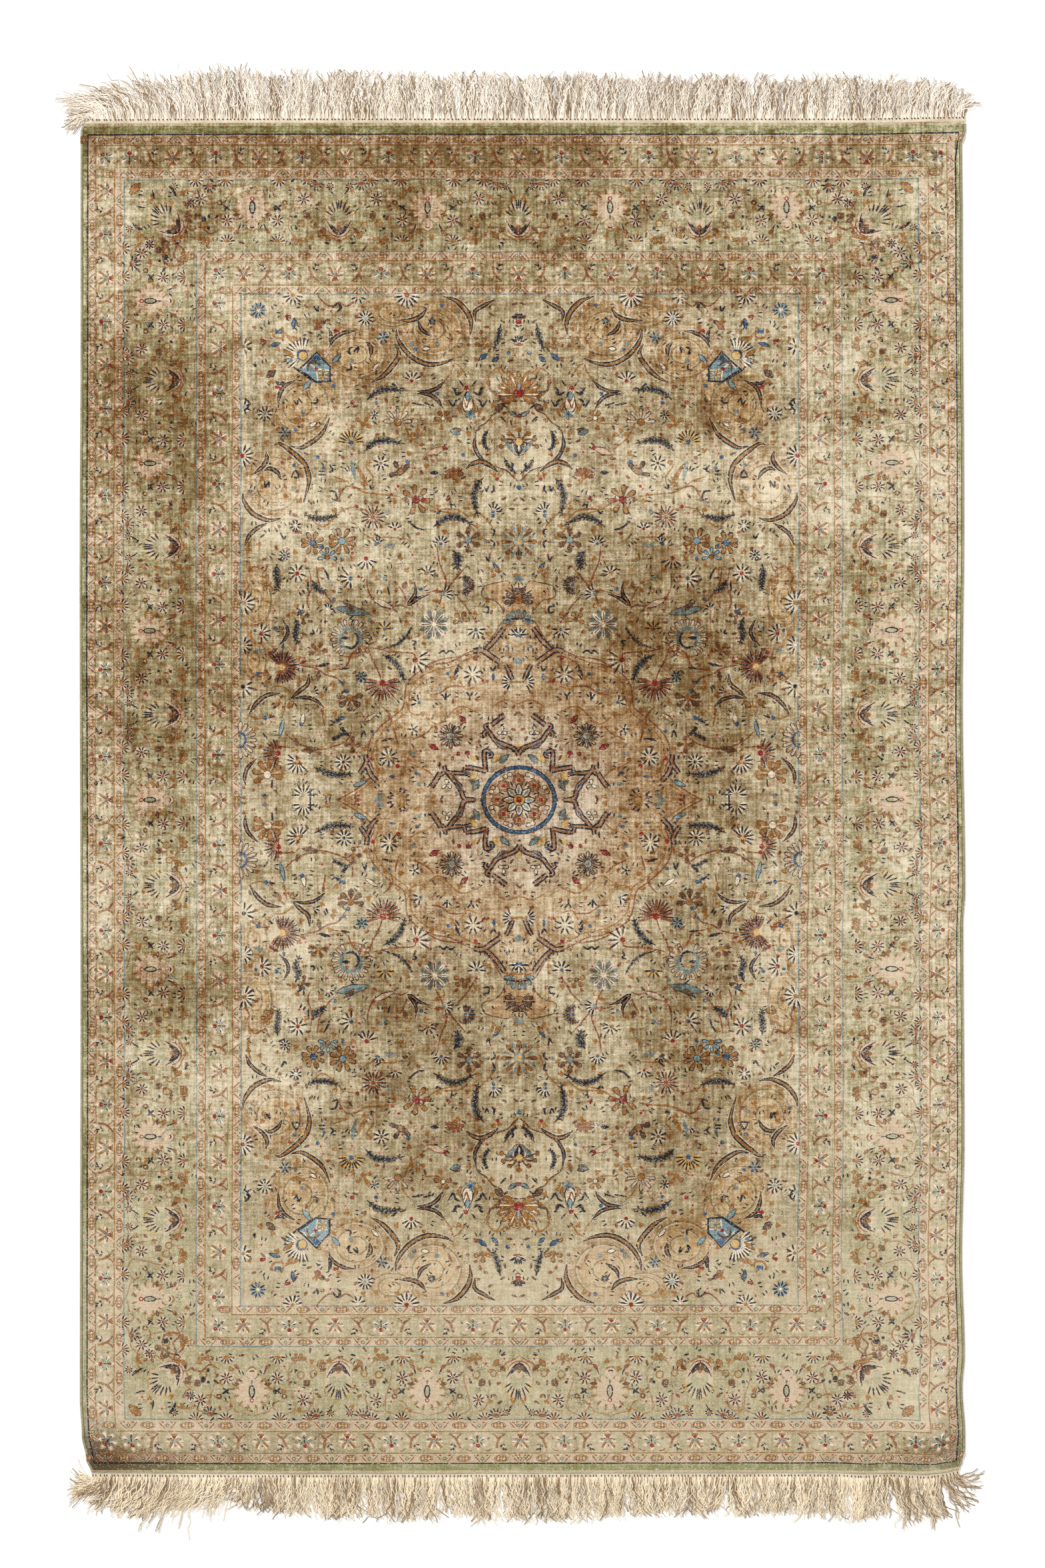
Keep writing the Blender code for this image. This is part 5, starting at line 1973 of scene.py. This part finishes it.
def weave_ground(material, back):
    """The pile's body: banded ground on top, plain sides and a woven back."""
    cuts_x = cut_lines(0)
    cuts_y = cut_lines(1)
    mesh = bmesh.new()
    bmesh.ops.create_grid(mesh, x_segments=len(cuts_x) - 1, y_segments=len(cuts_y) - 1, size=1.0)
    for vert in mesh.verts:
        vert.co.x = cuts_x[round((vert.co.x + 1.0) / 2 * (len(cuts_x) - 1))]
        vert.co.y = cuts_y[round((vert.co.y + 1.0) / 2 * (len(cuts_y) - 1))]
    raised = bmesh.ops.extrude_face_region(mesh, geom=mesh.faces[:])["geom"]
    lifted = [item for item in raised if isinstance(item, bmesh.types.BMVert)]
    bmesh.ops.translate(mesh, verts=lifted, vec=(0.0, 0.0, 1.0))
    bmesh.ops.recalc_face_normals(mesh, faces=mesh.faces[:])
    data = bpy.data.meshes.new("pile_ground")
    mesh.to_mesh(data)
    mesh.free()

    places = coordinates(data)
    middles = np.empty(len(data.polygons) * 3)
    data.polygons.foreach_get("center", middles)
    middles = middles.reshape(-1, 3)
    colors = np.tile(np.array(srgb(*BANDS[0][2:])), (len(middles), 1))
    for width, height, *tint in BANDS[1:]:
        inside = (np.abs(middles[:, 0]) < width - 0.1) & (np.abs(middles[:, 1]) < height - 0.1)
        colors[inside] = srgb(*tint)
    in_field = inside.astype(float)
    corners = np.empty(len(data.loops), dtype=np.int32)
    data.loops.foreach_get("vertex_index", corners)
    tint, share = dyed(places[:, 0], places[:, 1])
    share = (share[corners] * np.repeat(in_field, 4))[:, None]
    color = np.repeat(colors, 4, axis=0)
    color = color + (tint[corners] - color) * share
    for stain_x, stain_y, wide, tall, amount in STAINS:
        far = np.hypot((places[:, 0] - stain_x) / wide, (places[:, 1] - stain_y) / tall)
        soaked = (np.exp(-(far**2)) * amount)[corners][:, None]
        color = color + (np.array(srgb(*STAIN_TINT)) - color) * soaked
    layer = data.color_attributes.new("yarn", "FLOAT_COLOR", "CORNER")
    layer.data.foreach_set("color", np.hstack((color, np.ones((len(color), 1)))).ravel())
    data.polygons.foreach_set("material_index", (middles[:, 2] < 0.99).astype(np.int32))

    x, y = woven(places[:, 0], places[:, 1], (CORD_WIDTH + GAP) / RUG_WIDTH)
    upper = places[:, 2] > 0.5
    z = np.where(upper, PILE_TOP, 0.0002)
    set_coordinates(data, np.stack((x, y, z), axis=1))
    carry(data, "wear", worn_and_lit(x, y))
    carry(data, "unrest", np.interp(y, *np.array(UNREST).T))
    share_x = x / RUG_WIDTH + 0.5
    share_y = y / RUG_LENGTH + 0.5
    bake_map(
        data,
        np.where(upper, 0.01 + share_x * 0.63, 0.66 + share_x * 0.32),
        np.where(upper, 0.01 + share_y * 0.97, 0.01 + share_y * 0.49),
    )
    piece = new_piece("pile_ground", data, material)
    data.materials.append(back)
    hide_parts("rug_body")
    return piece


def lay_yarn(name, mesh, material, seed):
    """Lay one yarn's patches on the rug."""
    facing_up(mesh)
    data = bpy.data.meshes.new(name)
    mesh.to_mesh(data)
    mesh.free()
    places = coordinates(data)
    chance = np.random.default_rng(seed)
    shift = chance.uniform(-0.32, 0.32, (len(places), 2))
    x, y = woven(places[:, 0] + shift[:, 0], places[:, 1] + shift[:, 1])
    z = PILE_TOP + (places[:, 2] + 1.0) * LAYER
    set_coordinates(data, np.stack((x, y, z), axis=1))
    carry(data, "wear", worn_and_lit(x, y))
    carry(data, "unrest", np.interp(y, *np.array(UNREST).T))
    bake_map(data, x / RUG_WIDTH * 0.98 + 0.5, y / RUG_LENGTH * 0.98 + 0.5)
    return new_piece(name, data, material)


def wrap_cord(name, across, node, material):
    """An overcast side cord, with the ridges of its wraps."""
    curve = bpy.data.curves.new(name, "CURVE")
    curve.dimensions = "3D"
    curve.bevel_depth = CORD_HEIGHT / 2 - 0.0001
    curve.bevel_resolution = 2
    curve.use_fill_caps = True
    along = np.linspace(0.0008, 0.9992, CORD_WRAPS)
    edge_x, edge_y = on_outline(np.full(CORD_WRAPS, across), along)
    inwards = 1.0 if across == 0.0 else -1.0
    spline = curve.splines.new("POLY")
    spline.points.add(CORD_WRAPS - 1)
    places = np.ones((CORD_WRAPS, 4))
    places[:, 0] = edge_x + inwards * CORD_WIDTH / 2
    places[:, 1] = edge_y
    places[:, 2] = CORD_HEIGHT / 2
    spline.points.foreach_set("co", places.ravel())
    chance = np.random.default_rng(71)
    ridges = np.where(np.arange(CORD_WRAPS) % 2 == 0, 0.95, 0.82)
    radius = ridges + chance.uniform(-0.04, 0.04, CORD_WRAPS)
    spline.points.foreach_set("radius", radius)
    data = as_mesh(curve, name)
    places = coordinates(data)
    tone = chance.uniform(0.0, 0.5, CORD_WRAPS)
    station = np.round((places[:, 1] / RUG_LENGTH + 0.5) * CORD_WRAPS).astype(int)
    carry(data, "strand", tone[np.clip(station, 0, CORD_WRAPS - 1)])
    piece = new_piece(name, data, material)
    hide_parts(node)
    return piece


def as_mesh(curve, name):
    """Turn a curve into a mesh and drop the curve."""
    holder = bpy.data.objects.new("holder", curve)
    bpy.context.collection.objects.link(holder)
    graph = bpy.context.evaluated_depsgraph_get()
    data = bpy.data.meshes.new_from_object(holder.evaluated_get(graph))
    data.name = name
    bpy.data.objects.remove(holder)
    bpy.data.curves.remove(curve)
    return data


def weave_strip(end, material, dark):
    """A flat-woven strip at one end, with a row of small dark patches of painted shadow in the gaps between
    its warp bundles.
    """
    name = "strip_" + end.label
    mesh = bmesh.new()
    bmesh.ops.create_grid(mesh, x_segments=STRIP_CELLS, y_segments=3, size=1.0)
    top = bmesh.ops.extrude_face_region(mesh, geom=mesh.faces[:])["geom"]
    raised = [item for item in top if isinstance(item, bmesh.types.BMVert)]
    bmesh.ops.translate(mesh, verts=raised, vec=(0.0, 0.0, 1.0))
    bmesh.ops.recalc_face_normals(mesh, faces=mesh.faces[:])
    data = bpy.data.meshes.new(name)
    mesh.to_mesh(data)
    mesh.free()
    places = coordinates(data)
    share = places[:, 0] / 2 + 0.5
    out = (places[:, 1] * end.outwards + 1.0) / 2
    x, y = on_outline(share, np.full(len(share), end.along))
    x = x + end.corner_cut[0] * out * (1 - share) ** 40 - end.corner_cut[1] * out * share**40
    chance = np.random.default_rng(5)
    ripple = 0.0003 * np.sin(share * 900.0) + chance.uniform(-0.0002, 0.0002, len(share))
    y = y + end.outwards * (GAP + out * (STRIP_WIDTH + 0.0006) + ripple * out)
    z = np.where(places[:, 2] > 0.5, STRIP_THICKNESS + 0.0002 * np.sin(share * 700.0), 0.0001)
    set_coordinates(data, np.stack((x, y, z), axis=1))
    carry(data, "strand", chance.uniform(0.0, 0.35, len(share)))
    strip = new_piece(name, data, material)

    # Small dark patches standing for the painted shadow in the gaps between the warp bundles
    hole_shade_mesh = bmesh.new()
    for index in range(STRIP_HOLES):
        share = (index + 0.5 + chance.uniform(-0.25, 0.25)) / STRIP_HOLES
        spot_x, spot_y = on_outline(np.array([share]), np.array([end.along]))
        out = GAP + STRIP_WIDTH - 0.0004 - end.hole[1]
        spot = (spot_x[0], spot_y[0] + end.outwards * out, STRIP_THICKNESS + 0.0011)
        place = Matrix.Translation(spot) @ Matrix.Diagonal((*end.hole, 1.0, 1.0))
        bmesh.ops.create_circle(hole_shade_mesh, cap_ends=True, segments=6, radius=1.0, matrix=place)
    facing_up(hole_shade_mesh)
    data = bpy.data.meshes.new(name + "_holes")
    hole_shade_mesh.to_mesh(data)
    hole_shade_mesh.free()
    carry(data, "strand", np.full(len(data.vertices), 1.0))
    pits = new_piece(name + "_holes", data, dark)
    return strip, pits


STRANDS_AT_AN_END = 1900
TUFT_STRANDS = 70
STRAND_POINTS = 13
STRAND_RADIUS = 0.00088
# Least and most of what chance gives a clump of strands, in metres or as shares
CLUMP_WIDTHS = (0.006, 0.018)
CLUMP_LENGTHS = (0.90, 1.12)
CLUMP_TONES = (-0.16, 0.20)
# The same for a single strand: its wave's size and length, and its height over the floor
SWINGS = (0.0008, 0.0034)
WAVES = (0.014, 0.030)
LIFTS = (0.0006, 0.0040)
# How much shorter than its clump a strand is: least, most likely and most
SHORTER = (0.0, 0.04, 0.30)
STRAY = 0.0085
ROOT_LIFT = 0.0012


def comb_fringe(end, material):
    """Loose wavy silk warps lying on the floor beyond a strip."""
    name = "warps_" + end.label
    outwards = end.outwards
    left_cut, right_cut = end.corner_cut
    stain_x, stain_reach, stain_share, stain_all = end.stain
    chance = np.random.default_rng(end.seed)
    curve = bpy.data.curves.new(name, "CURVE")
    curve.dimensions = "3D"
    curve.bevel_depth = STRAND_RADIUS
    curve.bevel_resolution = 0
    curve.use_fill_caps = True
    tones = []
    clump_start = clump_end = -RUG_WIDTH / 2
    share = np.linspace(0.0, 1.0, STRAND_POINTS)
    for index in range(STRANDS_AT_AN_END):
        across = index - TUFT_STRANDS + 0.5 + chance.uniform(-0.5, 0.5)
        across /= STRANDS_AT_AN_END - TUFT_STRANDS
        across = left_cut / RUG_WIDTH + across * (1.0 - (left_cut + right_cut) / RUG_WIDTH)
        if index < TUFT_STRANDS:
            across = 0.018 * index / TUFT_STRANDS
        across = min(max(across, 0.002), 0.998)
        root_x, root_y = (part[0] for part in on_outline(np.array([across]), np.array([end.along])))
        root = Vector((root_x, root_y + outwards * (GAP + STRIP_WIDTH - 0.0006)))
        shift, reach, run = smooth_row(end.fringe, root_x)
        bend = root + Vector((0.0, outwards * run))
        tip = root + Vector((shift, outwards * reach))
        if index == TUFT_STRANDS:
            clump_end = -RUG_WIDTH / 2
        while root_x > clump_end:
            clump_start = clump_end
            clump_end += chance.uniform(*CLUMP_WIDTHS)
            clump_lean = chance.normal(0.0, end.lean)
            clump_length = chance.uniform(*CLUMP_LENGTHS)
            clump_tone = chance.uniform(*CLUMP_TONES)
        cut = clump_length - chance.triangular(*SHORTER)
        gather = ((clump_start + clump_end) / 2 - root_x) * 0.16 * outwards
        drift = (gather + clump_lean) * outwards + chance.normal(0.0, STRAY)
        swing = chance.uniform(*SWINGS)
        curl = chance.normal(0.0, end.curl)
        pitch = chance.uniform(*WAVES)
        phase = chance.uniform(0.0, 2 * math.pi)
        long = (tip - root).length
        lift = chance.uniform(*LIFTS)
        rows = np.ones((STRAND_POINTS, 4))
        for step, part in enumerate(share):
            far = part * cut
            near_line, far_line = root.lerp(bend, far), bend.lerp(tip, far)
            ahead = (far_line - near_line).normalized()
            side = Vector((ahead.y, -ahead.x))
            grown = min(1.0, far * 3.0)
            wave = swing * math.sin(2 * math.pi * far * long / pitch + phase) * grown
            sideways = side * (wave + drift * far**1.4 + curl * far**4)
            rows[step, :2] = near_line.lerp(far_line, far) + sideways
            height = ROOT_LIFT + (lift - ROOT_LIFT) * min(1.0, part * 5.0) * (1 - 0.4 * part)
            rows[step, 2] = max(STRAND_RADIUS, height)
        spline = curve.splines.new("POLY")
        spline.points.add(STRAND_POINTS - 1)
        spline.points.foreach_set("co", rows.ravel())
        spline.points.foreach_set("radius", 1.0 - 0.35 * share)
        # Strands lying low under the others get painted shade, darker the lower they lie
        shade_below = end.depth * (1.0 - min(1.0, lift / 0.0026))
        stained = math.exp(-(((root_x - stain_x) / stain_reach) ** 2)) * stain_share + stain_all
        tones.append(chance.uniform(0.0, 1.0) ** 2.6 * 1.6 + shade_below + clump_tone - 0.46 + stained)
    data = as_mesh(curve, name)
    per_strand = len(data.vertices) // STRANDS_AT_AN_END
    carry(data, "strand", np.repeat(np.array(tones), per_strand))
    for face in data.polygons:
        face.use_smooth = True
    piece = new_piece(name, data, material)
    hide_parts(end.node)
    return piece


# Add-on


def color_property(name, description, default):
    return bpy.props.FloatVectorProperty(
        name=name, description=description, default=default, subtype="COLOR", size=3, min=0.0, max=1.0
    )


# The stage, in metres; the lens and its sensor in millimetres
FLOOR_HALF = 8.0
LENS = 100.0
SENSOR_WIDTH = 36.0
CAMERA_REACH = 50.0
CAMERA_PLACE = (0.001, 0.021)
ROOM_LIGHT = 0.42
# Lights: (name, place, size, share of the main light's power)
LIGHTS = (
    ("main_light", (-5.0, 6.0, 8.0), 3.0, 1.0),
    ("fill_light", (4.0, -2.0, 9.0), 5.0, 0.36),
)


class RugPileSettings(bpy.types.PropertyGroup):
    """Sizes and colours of the knotted pile."""

    # How far places of painted sheen and wear fade towards cream
    fade_and_sheen: bpy.props.FloatProperty(
        name="Fading", description="How far worn places fade towards cream", default=0.84, subtype="FACTOR"
    )
    back_color: color_property("Back", "Colour of the woven back", srgb(168, 150, 116))


class RugFringeSettings(bpy.types.PropertyGroup):
    """Colours of the cords, strips and fringe."""

    fringe_color: color_property("Fringe", "Colour of the silk warps", srgb(250, 240, 224))
    aged_color: color_property("Aged fringe", "Colour of the lower end's warps", srgb(252, 236, 206))
    fringe_dark: color_property("Fringe in shade", "Colour between the warps", srgb(152, 124, 90))
    strip_color: color_property("Strip", "Colour of the flat-woven strips", srgb(232, 220, 196))
    cord_color: color_property("Cord", "Colour of the side cords", srgb(172, 162, 124))
    cord_dark: color_property("Cord in shade", "Colour between the wraps", srgb(104, 96, 66))


class RugStageSettings(bpy.types.PropertyGroup):
    """Floor, light and camera."""

    floor_color: color_property("Floor", "Colour of the floor", (0.96, 0.96, 0.96))
    light_power: bpy.props.FloatProperty(
        name="Light", description="Power of the main soft light", default=900.0, unit="POWER"
    )
    camera_height: bpy.props.FloatProperty(
        name="Camera height", description="Height of the camera over the rug", default=6.5333, unit="LENGTH"
    )


class RUG_OT_weave(bpy.types.Operator):
    """Weave the ground and every yarn of the design"""

    bl_idname = "rug.weave"
    bl_label = "Weave the rug"

    def execute(self, context):
        settings = context.scene.rug_pile
        quarter = Loom()
        upright = Loom()
        level = Loom()
        middle = Loom()
        weave_borders(quarter, upright, level)
        weave_field(quarter, upright, level, middle)
        whole = Loom()
        whole.lay(middle, Matrix.Identity(4))
        for flip_x in (1, -1):
            for flip_y in (1, -1):
                rise = Matrix.Translation((0.0, 0.0, 0.025 * (flip_x + flip_y * 2)))
                whole.lay(quarter, rise @ Matrix.Diagonal((flip_x, flip_y, 1.0, 1.0)))
            rise = Matrix.Translation((0.0, 0.0, 0.02 * flip_x))
            whole.lay(upright, rise @ Matrix.Diagonal((1.0, flip_x, 1.0, 1.0)))
            whole.lay(level, rise @ Matrix.Diagonal((flip_x, 1.0, 1.0, 1.0)))
        ground = weave_ground(
            knotted_silk("ground_pile", None, settings.fade_and_sheen),
            spun_silk("woven_back", tuple(settings.back_color), srgb(104, 84, 50), (300.0, 300.0, 1.0)),
        )
        pieces = []
        for seed, (yarn, *color, share) in enumerate(YARNS):
            if yarn in whole.cloth:
                material = knotted_silk(yarn + "_yarn", srgb(*color), settings.fade_and_sheen * share)
                pieces.append(lay_yarn(yarn + "_knots", whole.cloth[yarn], material, seed))
        context.scene["rug_ground"] = ground.name
        context.scene["rug_patches"] = [piece.name for piece in pieces]
        return {"FINISHED"}


class RUG_OT_bind(bpy.types.Operator):
    """Wrap the side cords, weave the end strips and comb the fringe"""

    bl_idname = "rug.bind"
    bl_label = "Bind sides and ends"

    def execute(self, context):
        settings = context.scene.rug_fringe
        cord_color, cord_dark = tuple(settings.cord_color), tuple(settings.cord_dark)
        shade = tuple(settings.fringe_dark)
        cord = spun_silk("side_cord", cord_color, cord_dark, (200.0, 2500.0, 200.0))
        names = []
        for label, across in (("left", 0.0), ("right", 1.0)):
            names.append(wrap_cord("cord_" + label, across, "selvedge_" + label, cord).name)
        strip = spun_silk("strip_weave", tuple(settings.strip_color), shade, (2600, 900, 1))
        # Dark of the painted shadow in the strips' gaps
        dark = spun_silk("strip_holes", srgb(96, 78, 52), srgb(60, 48, 32), (100.0, 100.0, 1.0))
        warps = spun_silk("silk_warps", tuple(settings.fringe_color), shade, (900, 900, 900))
        aged = spun_silk("aged_warps", tuple(settings.aged_color), shade, (900, 900, 900))
        for end, silk in zip(ENDS, (warps, aged)):
            for piece in weave_strip(end, strip, dark):
                names.append(piece.name)
            names.append(comb_fringe(end, silk).name)
        context.scene["rug_ends"] = names
        return {"FINISHED"}


class RUG_OT_stage(bpy.types.Operator):
    """Set the floor, the soft lights and the camera straight above"""

    bl_idname = "rug.stage"
    bl_label = "Set the stage"

    def execute(self, context):
        settings = context.scene.rug_stage
        scene = context.scene
        mesh = bmesh.new()
        bmesh.ops.create_grid(mesh, x_segments=1, y_segments=1, size=FLOOR_HALF)
        data = bpy.data.meshes.new("floor")
        mesh.to_mesh(data)
        mesh.free()
        floor = bpy.data.objects.new("floor", data)
        paint = Paint("pale_floor")
        paint.feed(paint.shader.inputs["Base Color"], (*settings.floor_color, 1.0))
        paint.feed(paint.shader.inputs["Roughness"], 0.9)
        data.materials.append(paint.material)
        context.collection.objects.link(floor)

        lens = bpy.data.cameras.new("camera")
        lens.lens = LENS
        lens.sensor_width = SENSOR_WIDTH
        lens.clip_end = CAMERA_REACH
        camera = bpy.data.objects.new("camera", lens)
        camera.location = (*CAMERA_PLACE, settings.camera_height)
        context.collection.objects.link(camera)
        scene.camera = camera
        scene.view_settings.view_transform = "Standard"

        world = bpy.data.worlds.new("soft_room")
        world.use_nodes = True
        background = world.node_tree.nodes["Background"]
        background.inputs["Color"].default_value = WHITE
        background.inputs["Strength"].default_value = ROOM_LIGHT
        scene.world = world
        for name, place, size, share in LIGHTS:
            light = bpy.data.lights.new(name, "AREA")
            light.shape = "DISK"
            light.size = size
            light.energy = settings.light_power * share
            lamp = bpy.data.objects.new(name, light)
            lamp.location = place
            lamp.rotation_euler = (-Vector(place)).to_track_quat("-Z", "Y").to_euler()
            context.collection.objects.link(lamp)
        return {"FINISHED"}


class RUG_PT_panel(bpy.types.Panel):
    """Lists the rug's operators and settings"""

    bl_idname = "RUG_PT_panel"
    bl_label = "Persian rug"
    bl_space_type = "VIEW_3D"
    bl_region_type = "UI"
    bl_category = "Rug"

    def draw(self, context):
        for group, operator in (
            ("rug_stage", RUG_OT_stage),
            ("rug_pile", RUG_OT_weave),
            ("rug_fringe", RUG_OT_bind),
        ):
            settings = getattr(context.scene, group)
            box = self.layout.box()
            for name in settings.__annotations__:
                box.prop(settings, name)
            box.operator(operator.bl_idname)


CLASSES = (
    RugPileSettings,
    RugFringeSettings,
    RugStageSettings,
    RUG_OT_weave,
    RUG_OT_bind,
    RUG_OT_stage,
    RUG_PT_panel,
)


def register():
    for item in CLASSES:
        bpy.utils.register_class(item)
    bpy.types.Scene.rug_pile = bpy.props.PointerProperty(type=RugPileSettings)
    bpy.types.Scene.rug_fringe = bpy.props.PointerProperty(type=RugFringeSettings)
    bpy.types.Scene.rug_stage = bpy.props.PointerProperty(type=RugStageSettings)


def unregister():
    del bpy.types.Scene.rug_stage
    del bpy.types.Scene.rug_fringe
    del bpy.types.Scene.rug_pile
    for item in reversed(CLASSES):
        bpy.utils.unregister_class(item)


def main():
    register()
    bpy.ops.rug.stage()
    bpy.ops.rug.weave()
    bpy.ops.rug.bind()


if __name__ == "__main__":
    main()
